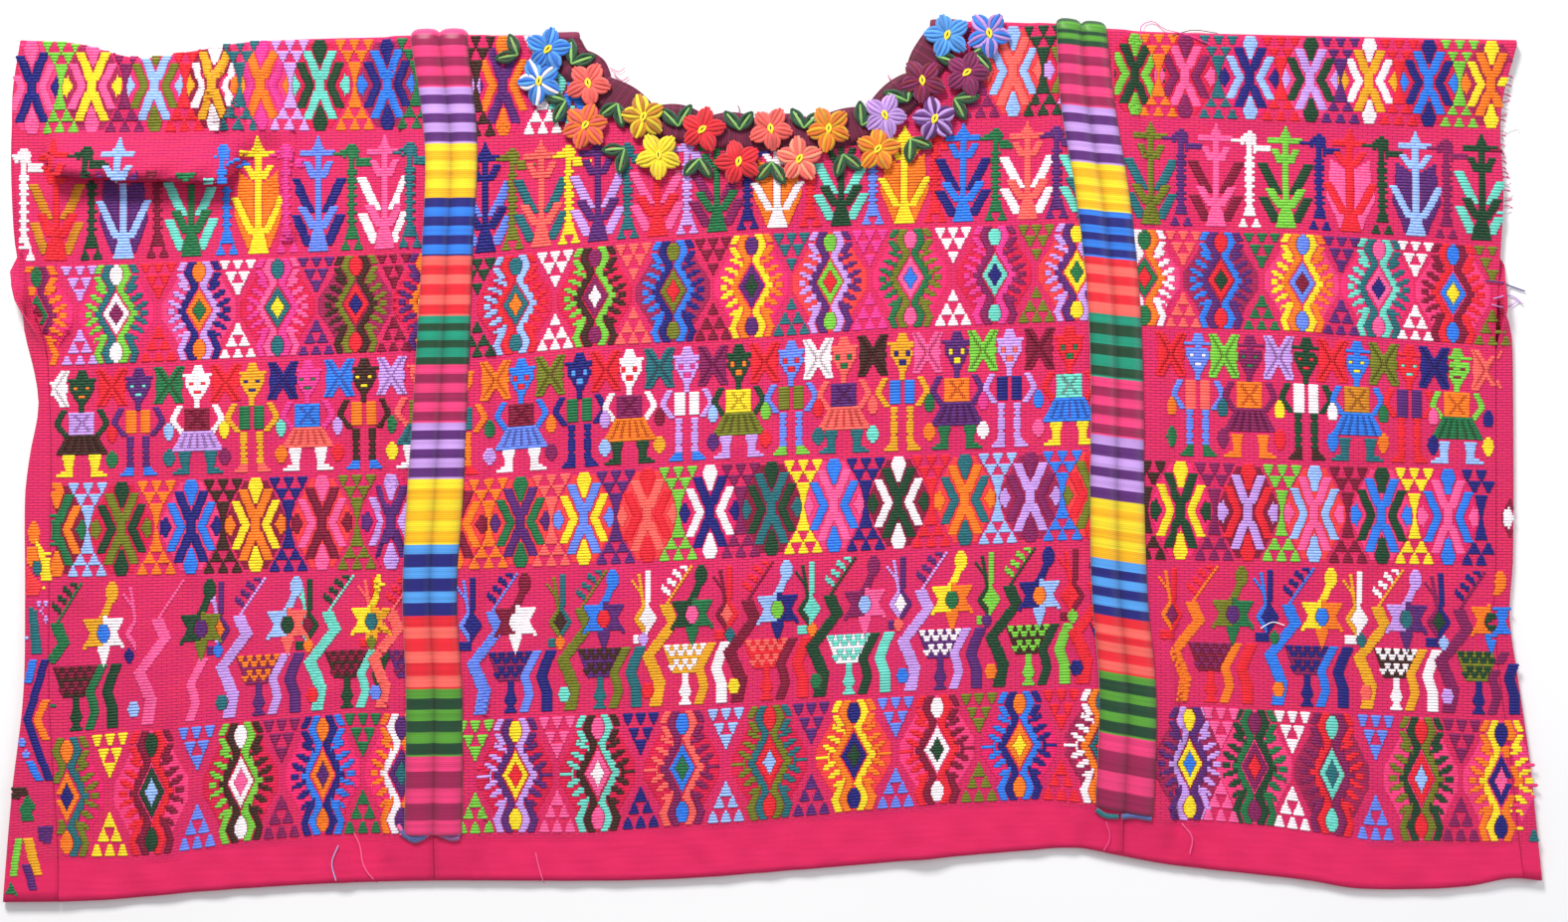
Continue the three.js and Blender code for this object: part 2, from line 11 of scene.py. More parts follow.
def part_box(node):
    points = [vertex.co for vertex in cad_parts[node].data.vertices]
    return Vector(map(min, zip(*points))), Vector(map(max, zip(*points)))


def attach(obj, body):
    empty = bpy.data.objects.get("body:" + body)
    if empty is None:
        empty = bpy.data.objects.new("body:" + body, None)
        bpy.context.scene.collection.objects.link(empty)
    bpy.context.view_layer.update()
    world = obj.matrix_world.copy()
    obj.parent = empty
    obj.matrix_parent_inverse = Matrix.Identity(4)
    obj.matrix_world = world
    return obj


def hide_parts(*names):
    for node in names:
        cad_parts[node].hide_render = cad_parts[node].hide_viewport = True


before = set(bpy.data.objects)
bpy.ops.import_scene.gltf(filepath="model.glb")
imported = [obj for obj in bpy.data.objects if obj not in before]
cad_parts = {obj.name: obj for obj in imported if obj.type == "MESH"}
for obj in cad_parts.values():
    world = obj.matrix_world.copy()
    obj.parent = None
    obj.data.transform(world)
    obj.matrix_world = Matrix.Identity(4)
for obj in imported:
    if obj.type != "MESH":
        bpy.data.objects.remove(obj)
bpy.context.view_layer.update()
print("frame loaded")

# the sizes below are millimetres on the garment's own plan: x across, y towards the neck, z up
millimetre = 0.001
cloth = {
    "thickness": 1.8, "shell": 1.2, "seamGap": 0.3, "layerGap": 0.6, "sideGap": 1.6, "foldRadius": 2.1,
    "foldFade": 30, "foldFree": 14, "sewnReach": 15, "hemBand": 0.055, "armholeEnd": 56,
    "armholeFade": 20, "armholeOpen": 112, "armholeTurnBack": 8,
}
joiningBand = {"height": 3.8, "pressed": 3.0, "shoulder": 0.8, "fade": 32, "tuck": 24, "tuckFade": 30}
neck = {
    "width": 16, "thickness": 1.2, "inset": 4, "scallops": 8, "scallopDepth": 3.5, "left": -109, "right": 89,
    "flatX": -10, "flatY": 240, "flatAcross": 144, "flatDown": 88, "flatFade": 0.3,
}

# columns: x, y of the shoulder fold and of the hem
shoulderLine = [
    (-425, 236), (-393, 234), (-359, 226), (-326, 230), (-295, 235), (-204, 238), (-109, 239),
    (89, 246), (154, 245), (187, 242), (237, 240), (422, 236),
]
hemLine = [
    (-435, -251), (-380, -250), (-321, -245), (-277, -242), (-238, -240), (-190, -239), (-68, -238.5),
    (13, -233), (143, -222), (172, -220.5), (197, -225), (225, -230), (300, -238.5), (332, -243.5),
    (390, -242.5), (417, -237.5), (435, -239),
]
# columns: y, x of the garment's outer edge and of the front's own edge or side seam
leftOuterEdge = [
    (-250, -435), (-190, -430), (-134, -423.5), (-78, -422.5), (-22, -422.5), (0, -420), (34, -415),
    (90, -428), (129, -435), (202, -435), (236, -425),
]
leftFrontEdge = [
    (-250, -403), (-224, -403), (-134, -408), (5, -407), (56, -409), (67, -411), (90, -419),
    (145, -427), (202, -429), (236, -424),
]
rightOuterEdge = [
    (-239, 435), (-215, 432.5), (-168, 427.5), (-123, 421), (-90, 416.5), (-56, 418.5), (34, 418.5),
    (73, 417.5), (95, 414), (120, 415), (146, 417.5), (174, 413.5), (196, 415), (236, 422),
]
rightFrontEdge = [
    (-240, 424), (-215, 421), (-168, 416), (-123, 410), (-90, 407), (-56, 408), (34, 408),
    (67, 408), (95, 409.5), (146, 412), (196, 411), (236, 420.5),
]
# columns: y, x of the seam, width of the joining band over it
leftSeam = [
    (-215, -191, 33), (-134, -190.5, 32), (-78, -193, 31), (-22, -190, 32), (22, -187.5, 31),
    (73, -185, 30), (118, -183, 29), (176, -181, 30), (235, -187.5, 32),
]
rightSeam = [
    (-202, 198, 33), (-134, 200, 32.5), (-78, 195.5, 32), (-22, 194, 31), (34, 194, 30), (90, 192, 30),
    (146, 186, 31), (202, 177, 31), (244, 173.5, 28),
]
# columns: x and y of both ends, half width, height of each fold or swell of the front
folds = [
    (-401, 176, -309, 171, 12, 9), (-396, 198, -316, 196, 26, 5), (-292, 226, -286, 186, 15, 5),
    (-274, 186, -272, 128, 8, 2.6), (-409, 124, -404, 72, 10, 4), (-383, 120, -372, 60, 20, 1.6),
    (-330, 20, -230, 40, 40, 2), (-250, -130, -242, -236, 9, 2.4), (-330, -150, -380, -60, 34, 1.6),
    (-120, 40, -60, 90, 46, 1.8), (40, 60, 110, 30, 44, 1.6), (-80, -90, 30, -60, 42, 1.8),
    (60, -150, 90, -232, 18, 2.2), (-130, -160, -20, -190, 30, 1.4), (228, -150, 236, -226, 8, 2.6),
    (252, -20, 340, 20, 40, 2), (300, 130, 392, 150, 36, 2.2), (380, -80, 400, -170, 20, 1.8),
    (260, 196, 380, 204, 20, 1.8),
]
# columns: side (-1 left, 1 right), distance from the seam, y from, y to, height of each tuck
tucks = [(-1, 24, -100, 190, 2.2), (1, 24, -215, -90, 2.6)]


def smoothstep(x, low, high):
    t = np.clip((np.asarray(x, float) - low) / (high - low), 0, 1)
    return t * t * (3 - 2 * t)


def mix(a, b, t):
    return a + (b - a) * t


# a smooth curve through a table's rows, level beyond its ends
def curve(rows, column=1):
    xs = np.array([row[0] for row in rows], float)
    ys = np.array([row[column] for row in rows], float)
    before = np.maximum(np.arange(len(xs)) - 1, 0)
    after = np.minimum(np.arange(len(xs)) + 1, len(xs) - 1)
    slopes = (ys[after] - ys[before]) / (xs[after] - xs[before])

    def at(x):
        x = np.clip(np.asarray(x, float), xs[0], xs[-1])
        i = np.clip(np.searchsorted(xs, x, side="left") - 1, 0, len(xs) - 2)
        width = xs[i + 1] - xs[i]
        t = (x - xs[i]) / width
        start = ys[i] * (1 + 2 * t) * (1 - t) ** 2 + slopes[i] * width * t * (1 - t) ** 2
        end = ys[i + 1] * t * t * (3 - 2 * t) - slopes[i + 1] * width * t * t * (1 - t)
        return start + end

    return at


shoulderAt = curve(shoulderLine)
hemAt = curve(hemLine)
halfThickness = cloth["thickness"] / 2
foldOuter = cloth["foldRadius"] + halfThickness
seams = [
    {"side": -1, "at": curve(leftSeam), "width": curve(leftSeam, 2)},
    {"side": 1, "at": curve(rightSeam), "width": curve(rightSeam, 2)},
]
frontEdges = {-1: curve(leftFrontEdge), 1: curve(rightFrontEdge)}
outerEdges = {-1: curve(leftOuterEdge), 1: curve(rightOuterEdge)}


def flatTopAt(x):
    return shoulderAt(x) - foldOuter


def rowY(x, row):
    return mix(hemAt(x), flatTopAt(x), row)


def rowOf(x, y):
    return (y - hemAt(x)) / (flatTopAt(x) - hemAt(x))


# the seam's place, its y and the half width of the level cloth under its band
def seamRow(seam, row):
    x = seam["at"](np.zeros_like(np.asarray(row, float)))
    for _ in range(3):
        x = seam["at"](rowY(x, row))
    y = rowY(x, row)
    return x, y, seam["width"](y) / 2 + joiningBand["shoulder"]


# the place whose height a point takes: under a joining band it is the seam itself
def heightPlace(x, row):
    place = np.array(np.broadcast_to(x, np.broadcast(x, row).shape), float)
    for seam in seams:
        seamX, _, half = seamRow(seam, row)
        away = np.abs(x - seamX)
        moved = np.maximum(0, away - half) * joiningBand["fade"] / (joiningBand["fade"] - half)
        near = away < joiningBand["fade"]
        place = np.where(near, seamX + np.sign(x - seamX) * moved, place)
    return place


def neckFlatness(x, y):
    reach = np.hypot((x - neck["flatX"]) / neck["flatAcross"], (y - neck["flatY"]) / neck["flatDown"])
    return 1 - smoothstep(reach, 1, 1 + neck["flatFade"])


# how far the back layer's underside is lifted by the bands and the neck band under it
def backLift(x, row):
    lift = (neck["thickness"] + cloth["seamGap"]) * neckFlatness(x, rowY(x, row))
    for seam in seams:
        seamX, _, half = seamRow(seam, row)
        over = 1 - smoothstep(np.abs(x - seamX), half, joiningBand["fade"])
        over = (joiningBand["pressed"] + cloth["seamGap"]) * over * smoothstep(row, 0, cloth["hemBand"])
        lift = np.maximum(lift, over)
    return lift


def foldHeight(x, y, fold):
    x1, y1, x2, y2, halfWidth, height = fold
    length = math.hypot(x2 - x1, y2 - y1)
    alongX, alongY = (x2 - x1) / length, (y2 - y1) / length
    ahead = (x - x1) * alongX + (y - y1) * alongY
    beside = (x - x1) * alongY - (y - y1) * alongX
    past = np.where(ahead < 0, -ahead, np.maximum(0, ahead - length))
    away = np.hypot(beside, past) / halfWidth
    return np.where(away < 1, height * np.cos(np.minimum(away, 1) * math.pi / 2) ** 2, 0)


def tuckHeight(x, row):
    total = 0
    for side, distance, low, high, height in tucks:
        seamX, y, half = seamRow(seams[0 if side < 0 else 1], row)
        outward = side * (x - seamX)
        profile = np.where(
            outward < distance,
            smoothstep(outward, half, distance),
            1 - smoothstep(outward, distance, joiningBand["fade"]),
        )
        fade = joiningBand["tuckFade"]
        ends = smoothstep(y, low, low + fade) * (1 - smoothstep(y, high - fade, high))
        total = total + height * profile * ends
    return total


# the front's free height over the back layer: the gap between the layers and the folds
def frontRise(x, row):
    place = heightPlace(x, row)
    y = rowY(place, row)
    fromFold = flatTopAt(place) - y
    edge = np.where(np.asarray(x) < 0, frontEdges[-1](y), frontEdges[1](y))
    fromEdge = np.abs(place - edge)
    flat = neckFlatness(place, y)
    openGap = 2 * cloth["foldRadius"] - cloth["thickness"]
    atFold = np.maximum(flat, 1 - smoothstep(fromFold, 0, cloth["foldFade"]))
    atSide = 1 - smoothstep(fromEdge, 0, cloth["foldFade"])
    gap = mix(mix(cloth["layerGap"], cloth["sideGap"], atSide), openGap, atFold)
    end = cloth["armholeEnd"]
    belowArmhole = 1 - smoothstep(y, end, end + cloth["armholeFade"])
    sewn = (1 - smoothstep(fromEdge, 0, cloth["sewnReach"])) * belowArmhole
    free = smoothstep(fromFold, 0, cloth["foldFree"]) * (1 - flat) * (1 - sewn)
    height = sum(foldHeight(place, y, fold) for fold in folds)
    return gap + free * (height + tuckHeight(x, row))


def liftAt(x, row):
    return backLift(heightPlace(x, row), row)


def frontTop(x, row):
    return liftAt(x, row) + 2 * cloth["thickness"] + frontRise(x, row)


# points of the front, the fold and the back, at a height above the cloth's outer face
def frontPoint(x, row, out):
    x, row = np.broadcast_arrays(np.asarray(x, float), np.asarray(row, float))
    return np.stack([x, rowY(x, row), frontTop(x, row) + out], -1)


def foldPoint(x, turn, out):
    x, turn = np.broadcast_arrays(np.asarray(x, float), np.asarray(turn, float))
    angle = math.pi / 2 - math.pi * turn
    middle = liftAt(x, np.ones_like(x)) + foldOuter
    radius = foldOuter + out
    return np.stack([x, flatTopAt(x) + radius * np.cos(angle), middle + radius * np.sin(angle)], -1)


def backPoint(x, row, out):
    x, row = np.broadcast_arrays(np.asarray(x, float), np.asarray(row, float))
    return np.stack([x, rowY(x, row), liftAt(x, row) - out], -1)


# the plan is moved to the frame by the left length's lowest corner
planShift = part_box("left_panel")[0].y / millimetre - hemLine[0][1]


def toFrame(points):
    points = np.array(points, float)
    points[..., 1] += planShift
    return points * millimetre


# sRGB colours seen in the cloth and its threads
dyes = {
    "magenta": (235, 60, 150), "pink": (250, 96, 158),
    "coral": (254, 104, 96), "red": (236, 36, 52), "maroon": (134, 20, 56), "plum": (136, 30, 92),
    "purple": (92, 38, 116), "lilac": (200, 156, 232), "periwinkle": (106, 138, 238),
    "paleBlue": (156, 190, 246), "blue": (48, 126, 232), "navy": (32, 32, 122), "teal": (36, 110, 120),
    "mint": (112, 214, 198), "darkGreen": (28, 70, 44), "green": (34, 116, 70), "lightGreen": (124, 202, 66),
    "olive": (118, 124, 32), "brown": (66, 38, 30), "gold": (236, 168, 32), "yellow": (252, 222, 40),
    "ochre": (206, 132, 28), "orange": (250, 126, 30), "white": (250, 240, 246), "burgundy": (112, 16, 58),
    "tealGreen": (24, 150, 120), "skyBlue": (84, 160, 238), "peach": (252, 150, 120),
    "crimson": (214, 22, 72), "redCoral": (246, 62, 66), "pinkRed": (244, 40, 112),
    "slate": (84, 98, 156), "bandPink": (240, 60, 124), "bandPlum": (158, 30, 82), "leafGreen": (88, 158, 52),
    "amber": (252, 186, 22), "plumGrey": (140, 84, 142), "magentaRed": (226, 28, 104),
    "paleLeaf": (126, 176, 92),
}


def linear(srgb):
    share = np.array(srgb, float) / 255
    return np.where(share <= 0.04045, share / 12.92, ((share + 0.055) / 1.055) ** 2.4)


dyeLinear = {name: linear(value) for name, value in dyes.items()}
dyeNames = list(dyes)


def newObject(name, points, faces, smooth=True):
    mesh = bpy.data.meshes.new(name)
    mesh.from_pydata([tuple(p) for p in np.asarray(points)], [], [tuple(f) for f in faces])
    mesh.validate()
    if smooth:
        mesh.shade_smooth()
    made = bpy.data.objects.new(name, mesh)
    bpy.context.scene.collection.objects.link(made)
    return made


def setColours(mesh, values, name="shade"):
    layer = mesh.attributes.new(name, "FLOAT_COLOR", "POINT")
    rgba = np.ones((len(mesh.vertices), 4), np.float32)
    rgba[:, :3] = np.clip(values, 0, 1)
    layer.data.foreach_set("color", rgba.ravel())


# the photograph's picture plane, used only to place what was read there
plan = {"scale": 0.56, "middleX": 776.5, "middleY": 460, "width": 1576, "height": 927}


def planX(px):
    return (np.asarray(px, float) - plan["middleX"]) * plan["scale"]


def planY(py):
    return (plan["middleY"] - np.asarray(py, float)) * plan["scale"]


def pictureX(x):
    return np.asarray(x, float) / plan["scale"] + plan["middleX"]


# brocade: the lines between its seven bands, from the shoulder down, as (x, y) on the picture
bandLines = {
    "left": [
        [(0, 38), (400, 36)], [(50, 137), (400, 132)], [(65, 265), (400, 252)], [(65, 370), (410, 355)],
        [(80, 483), (380, 474)], [(80, 583), (380, 575)], [(60, 740), (350, 715)],
        [(0, 872), (48, 865), (122, 865), (166, 862), (255, 848), (332, 842), (404, 841), (440, 841)],
    ],
    "centre": [
        [(440, 34), (1120, 22)], [(480, 140), (1050, 118)], [(478, 258), (600, 245), (760, 232), (1060, 222)],
        [(478, 362), (600, 350), (760, 342), (900, 332), (1080, 325)],
        [(478, 480), (620, 470), (800, 460), (1090, 450)], [(478, 575), (620, 570), (800, 560), (1090, 545)],
        [(476, 722), (700, 712), (900, 699), (1095, 690)],
        [(404, 841), (594, 841), (675, 834), (755, 829), (850, 820), (940, 812), (1040, 807), (1120, 812)],
    ],
    "right": [
        [(1110, 30), (1530, 38)], [(1145, 118), (1520, 132)], [(1145, 228), (1300, 232), (1505, 245)],
        [(1150, 330), (1300, 335), (1500, 350)], [(1150, 460), (1300, 465), (1500, 470)],
        [(1150, 565), (1510, 572)], [(1180, 708), (1500, 722)],
        [(1120, 820), (1150, 827), (1213, 828), (1280, 834), (1340, 843), (1381, 849), (1560, 850)],
    ],
}
bandLines["wrap"] = [
    [(0, 484), (60, 484)], [(0, 603), (60, 601)], [(0, 662), (60, 660)], [(0, 790), (60, 788)],
    [(0, 830), (60, 828)], [(0, 906), (60, 903)],
]
brocade = {
    "pick": 1.62, "longest": 7.2, "width": 2.02, "height": 0.95, "sink": 0.15, "seed": 7,
    "overlap": 0.7, "patchLongest": 9.0, "patchHeight": 0.55, "heights": (0.94, 1.08), "tones": (0.9, 1.07),
    "shadowLineTone": 0.64, "step": 2.0, "clear": 1.5, "underBand": 4, "hemClear": 0.02, "lowest": -247,
    "rightWrapTop": 100,
}


def lineY(line, px):
    xs, ys = np.array(line, float).T
    return np.interp(px, xs, ys)


def pickCounts(side):
    middle = {"left": 240, "centre": 780, "right": 1330, "wrap": 30}[side]
    ys = [float(lineY(line, middle)) for line in bandLines[side]]
    return [max(4, round((low - high) * plan["scale"] / brocade["pick"])) for high, low in zip(ys, ys[1:])]


# the count of picks from the shoulder down to a place of a length, and how much of it is brocade
def pickAt(side, x, y):
    px, py = pictureX(x), plan["middleY"] - np.asarray(y) / plan["scale"]
    counts = pickCounts(side)
    lines = [lineY(line, px) for line in bandLines[side]]
    total = (py - lines[0]) * plan["scale"] / brocade["pick"]
    done = 0
    for high, low, count in zip(lines, lines[1:], counts):
        total = np.where(py >= high, done + (py - high) / (low - high) * count, total)
        done += count
    below = py > lines[-1]
    total = np.where(below, done + (py - lines[-1]) * plan["scale"] / brocade["pick"], total)
    return total, 1 - smoothstep(py, lines[-1] - 1, lines[-1] + 1)


# the cloth's three lengths
fine = {"fold": 8, "centre": 96, "side": 56, "hook": 16}

# columns: x and y of both ends, half width, height of the small creases between the large folds
creases = [
    (-420, 150, -360, 158, 9, 0.9), (-404, 30, -392, -80, 9, 0.9), (-366, 96, -300, 104, 12, 0.8),
    (-352, -30, -300, -96, 14, 1.0), (-236, 96, -232, -20, 7, 0.9), (-300, -190, -262, -216, 10, 0.9),
    (-226, -60, -222, -170, 6, 0.9), (-150, 120, -60, 128, 16, 0.8), (-20, 10, 44, -16, 18, 1.0),
    (-150, -20, -96, -64, 16, 0.9), (120, 110, 160, 60, 14, 0.8), (96, -30, 148, -60, 15, 0.9),
    (-60, -196, -30, -232, 9, 0.9), (20, -190, 34, -226, 8, 0.9), (128, -180, 140, -216, 8, 0.8),
    (226, 96, 232, -40, 8, 1.0), (260, 60, 330, 84, 14, 0.8), (330, -60, 384, -30, 15, 0.9),
    (280, -170, 330, -196, 14, 1.0), (352, -190, 362, -234, 8, 0.9), (392, 60, 402, -20, 8, 0.8),
    (-374, -196, -352, -240, 9, 1.0), (-401, 178, -309, 174, 12, 4.2), (-322, 228, -299, 178, 11, 7.0),
    (-274, 186, -272, 128, 7, 2.2), (-399, 112, -395, 78, 6, 1.6), (-395, 78, -407, 60, 6, 1.8),
    (-214, 170, -213, -110, 7, 1.3), (218, 150, 222, -90, 7, 1.3), (-248, -212, -240, -150, 7, 1.2),
    (234, -214, 243, -150, 7, 1.2), (-398, 170, -404, 130, 8, 2.0),
]
buckle = {"fold": (-401, 176, -309, 171, 12, 9), "lean": 1.95}
hiddenByBuckle = {"left": 139, "right": 218, "top": 136, "bottom": 175}
pucker = {"height": 0.4, "across": 4.4, "down": 5.2}
creaseClear = (3, 16)  # how far in from the side seam the creases begin, and where they are full


def creaseRise(x, row):
    place = heightPlace(x, row)
    y = rowY(place, row)
    flat = neckFlatness(place, y)
    edge = np.where(np.asarray(x) < 0, frontEdges[-1](y), frontEdges[1](y))
    free = smoothstep(flatTopAt(place) - y, 0, cloth["foldFree"]) * (1 - flat)
    free = free * smoothstep(np.abs(place - edge), *creaseClear)
    wander = 1.7 * np.sin(y / 31 + 0.6) + 1.1 * np.sin(place / 23)
    puckered = np.sin(place / pucker["across"] + wander) * np.sin(y / pucker["down"] + wander * 0.7)
    return free * (sum(foldHeight(place, y, crease) for crease in creases) + pucker["height"] * puckered)


def spacing(start, end, count):
    return start + (end - start) * np.arange(1, count + 1) / count


def seamColumns(seam, row, side):
    x, _, half = seamRow(seam, row)
    fade, tuck, near = joiningBand["fade"], joiningBand["tuck"], cloth["seamGap"] / 2
    away = np.concatenate([
        [fade], spacing(fade, tuck, 3), spacing(tuck, float(half), 3), spacing(float(half), near, 3),
    ])
    return float(x) + side * away


def edgeX(edge, row):
    x = edge(0.0)
    for _ in range(3):
        x = edge(rowY(x, row))
    return float(x)


def clothPair(point, x, row, layer):
    rise = creaseRise(x, np.full_like(x, row)) if layer == "front" else 0
    outer, inner = point(x, row, 0), point(x, row, -cloth["shell"])
    for face in (outer, inner):
        if layer == "front":
            face[..., 1] -= buckle["lean"] * foldHeight(x, face[..., 1], buckle["fold"])
        face[..., 2] += rise
    return outer, inner


frontRowShares = np.concatenate([
    [0], spacing(0, cloth["hemBand"], 7), spacing(cloth["hemBand"], 0.95, 92), spacing(0.95, 1, 17),
])
foldTurns = spacing(0, 1, fine["fold"])[:-1]
backRowShares = np.concatenate([
    1 - np.concatenate([[0], spacing(0, 0.06, 6), spacing(0.06, 1 - cloth["hemBand"], 52)]),
    cloth["hemBand"] - spacing(0, cloth["hemBand"], 4),
])
route = (
    [("front", row, frontPoint) for row in frontRowShares]
    + [("fold", turn, foldPoint) for turn in foldTurns]
    + [("back", row, backPoint) for row in backRowShares]
)
armholeRow = float(rowOf(-425.0, cloth["armholeOpen"]))


# the back of a side length, with its margin turned over onto the front and open at the armhole
def backSection(side, row):
    inward = -side
    seam = seams[0] if side < 0 else seams[1]
    beside = seamColumns(seam, row, side)
    outline, seamSide = edgeX(outerEdges[side], row), edgeX(frontEdges[side], row)
    y = float(rowY(outline, row))
    opened = float(smoothstep(y, cloth["armholeEnd"], cloth["armholeOpen"]))
    turn = math.pi * (1 - opened)
    radius = (cloth["thickness"] + float(frontRise(seamSide, row))) / 2
    bend = math.pi * radius
    turned = abs(seamSide - outline) - cloth["seamGap"] - radius - halfThickness
    closing = float(smoothstep(turn, 0, math.pi))
    strip = mix(cloth["armholeTurnBack"], turned, closing)
    bendX = outline + inward * mix(bend + strip, radius + halfThickness, closing)
    bendRadius = bend / max(turn, 0.001)
    flatStart = strip + bend
    flatEnd = abs(beside[0] - bendX) + flatStart
    count = fine["side"]
    hooks = fine["hook"] // 2
    hooked = np.concatenate([[0], spacing(0, strip, hooks), spacing(strip, strip + bend, hooks)])
    rest = spacing(flatStart, flatEnd, count + 1 - len(hooked))[:-1]
    even = flatEnd * np.arange(count) / count
    settle = float(smoothstep(row, armholeRow + 0.02, 1))
    places = mix(np.concatenate([hooked, rest]), even, settle)
    along = bend + strip - places
    curled = np.clip(along, 0, bend)
    past = np.maximum(0, along - bend)
    angle = turn * curled / bend
    x = bendX - inward * (bendRadius * np.sin(angle) + past * np.cos(angle))
    x = np.where(along <= 0, bendX - inward * along, x)
    bendZ = float(liftAt(bendX, row)) + halfThickness
    z = bendZ + bendRadius * (1 - np.cos(angle)) + past * np.sin(angle)
    z = np.where(along <= 0, liftAt(x, row) + halfThickness, z)
    x = np.concatenate([x, beside])
    z = np.concatenate([z, liftAt(beside, row) + halfThickness])
    angle = np.concatenate([np.where(along <= 0, 0, angle), np.zeros(len(beside))])
    sheet = []
    for out in (-halfThickness, cloth["shell"] - halfThickness):
        across, up = inward * out * np.sin(angle), out * np.cos(angle)
        sheet.append(np.stack([x + across, rowY(x, row), z + up], -1))
    return sheet


def sideColumnsAt(side, row):
    edge = edgeX(frontEdges[side], row)
    beside = seamColumns(seams[0] if side < 0 else seams[1], row, side)
    nearEdge = mix(edge, beside[0], np.array([0, 0.004, 0.012]))
    rest = spacing(nearEdge[-1], beside[0], fine["side"] - 2)[:-1]
    return np.concatenate([nearEdge, rest, beside])


def centreColumnsAt(row):
    left = seamColumns(seams[0], row, 1)[::-1]
    right = seamColumns(seams[1], row, -1)
    return np.concatenate([left, spacing(left[-1], right[0], fine["centre"])[:-1], right])


def shellRows(side):
    outers, inners = [], []
    for layer, row, point in route:
        share = 1.0 if layer == "fold" else row
        if side and layer == "back":
            outer, inner = backSection(side, share)
        else:
            x = sideColumnsAt(side, share) if side else centreColumnsAt(share)
            outer, inner = clothPair(point, x, row, layer)
        outers.append(outer)
        inners.append(inner)
    return np.array(outers), np.array(inners)


# a closed shell between two matching grids of points, with its faces turned outwards
def shellFaces(rows, across):
    sheet = rows * across
    index = np.arange(sheet).reshape(rows, across)
    a, b = index[:-1, :-1].ravel(), index[:-1, 1:].ravel()
    c, d = index[1:, 1:].ravel(), index[1:, :-1].ravel()
    faces = np.concatenate([np.stack([a, b, c, d], 1), np.stack([a, d, c, b], 1) + sheet])
    edges = [
        (index[:-1, 0], index[1:, 0]), (index[1:, -1], index[:-1, -1]),
        (index[0, 1:], index[0, :-1]), (index[-1, :-1], index[-1, 1:]),
    ]
    rims = [np.stack([start, end, end + sheet, start + sheet], 1) for start, end in edges]
    return np.concatenate([faces, *rims])


def turnOutwards(target):
    working = bmesh.new()
    working.from_mesh(target.data)
    bmesh.ops.recalc_face_normals(working, faces=working.faces)
    if working.calc_volume(signed=True) < 0:
        bmesh.ops.reverse_faces(working, faces=working.faces)
    working.to_mesh(target.data)
    working.free()


def addWeaveMap(target, side):
    mesh = target.data
    places = np.empty(len(mesh.vertices) * 3, np.float32)
    mesh.vertices.foreach_get("co", places)
    places = places.reshape(-1, 3) / millimetre
    picks, woven = pickAt(side, places[:, 0], places[:, 1] - planShift)
    corners = np.empty(len(mesh.loops), np.int32)
    mesh.loops.foreach_get("vertex_index", corners)
    uv = np.stack([places[:, 0], picks], -1)[corners]
    layer = mesh.uv_layers.new(name="weave")
    layer.data.foreach_set("uv", uv.astype(np.float32).ravel())
    setColours(mesh, np.repeat(woven[:, None], 3, 1), "brocaded")


# the neck's outline as a smooth line through its points
neckPoints = [
    (neck["left"], float(flatTopAt(neck["left"]))), (-107, 226), (-97, 220), (-86, 208), (-69, 198),
    (-46, 192.5), (-24, 189.5), (2, 188.5), (30, 189.5), (46, 193.5), (60, 200.5), (70, 209.5), (79, 221),
    (86, 232), (neck["right"], float(flatTopAt(neck["right"]))),
]


def throughPoints(points, steps=24):
    points = np.array(points, float)
    padded = np.concatenate([points[:1], points, points[-1:]])
    t = (np.arange(steps) / steps)[:, None]
    pieces = []
    for p0, p1, p2, p3 in zip(padded, padded[1:], padded[2:], padded[3:]):
        v0, v1 = (p2 - p0) / 2, (p3 - p1) / 2
        pieces.append(
            (2 * p1 - 2 * p2 + v0 + v1) * t**3 + (-3 * p1 + 3 * p2 - 2 * v0 - v1) * t**2 + v0 * t + p1
        )
    return np.concatenate([*pieces, points[-1:]])


def evenly(line, count):
    lengths = np.concatenate([[0], np.cumsum(np.linalg.norm(np.diff(line, axis=0), axis=1))])
    at = np.linspace(0, lengths[-1], count + 1)
    return np.stack([np.interp(at, lengths, line[:, i]) for i in range(line.shape[1])], -1)


def neckStations(count):
    places = evenly(throughPoints(neckPoints), count)
    ahead = np.gradient(places, axis=0)
    outward = np.stack([ahead[:, 1], -ahead[:, 0]], -1)
    outward /= np.linalg.norm(outward, axis=1)[:, None]
    share = np.arange(count + 1) / count
    level = smoothstep(np.abs(share - 0.5), 0.46, 0.5)[:, None]
    sideways = np.stack([np.where(share < 0.5, -1.0, 1.0), np.zeros(count + 1)], -1)
    outward = mix(outward, sideways, level)
    outward /= np.linalg.norm(outward, axis=1)[:, None]
    return places, outward, np.abs(np.sin(math.pi * neck["scallops"] * share))


def cutNeck(target):
    places, outward, _ = neckStations(64)
    edge = places + outward * neck["inset"]
    above = 40
    outline = np.concatenate([
        edge,
        [[neck["right"] + neck["inset"], edge[-1, 1] + above],
         [neck["left"] - neck["inset"], edge[0, 1] + above]],
    ])
    count = len(outline)
    points = [(*p, z) for z in (-above / 2, above / 2) for p in outline]
    ring = [(i, (i + 1) % count, (i + 1) % count + count, i + count) for i in range(count)]
    faces = [tuple(range(count))[::-1], tuple(range(count, 2 * count)), *ring]
    cutter = newObject("neckCutter", toFrame(np.array(points)), faces, smooth=False)
    turnOutwards(cutter)
    cut = target.modifiers.new("neckHole", "BOOLEAN")
    cut.operation, cut.solver, cut.object = "DIFFERENCE", "EXACT", cutter
    bakeModifiers(target)
    bpy.data.objects.remove(cutter)


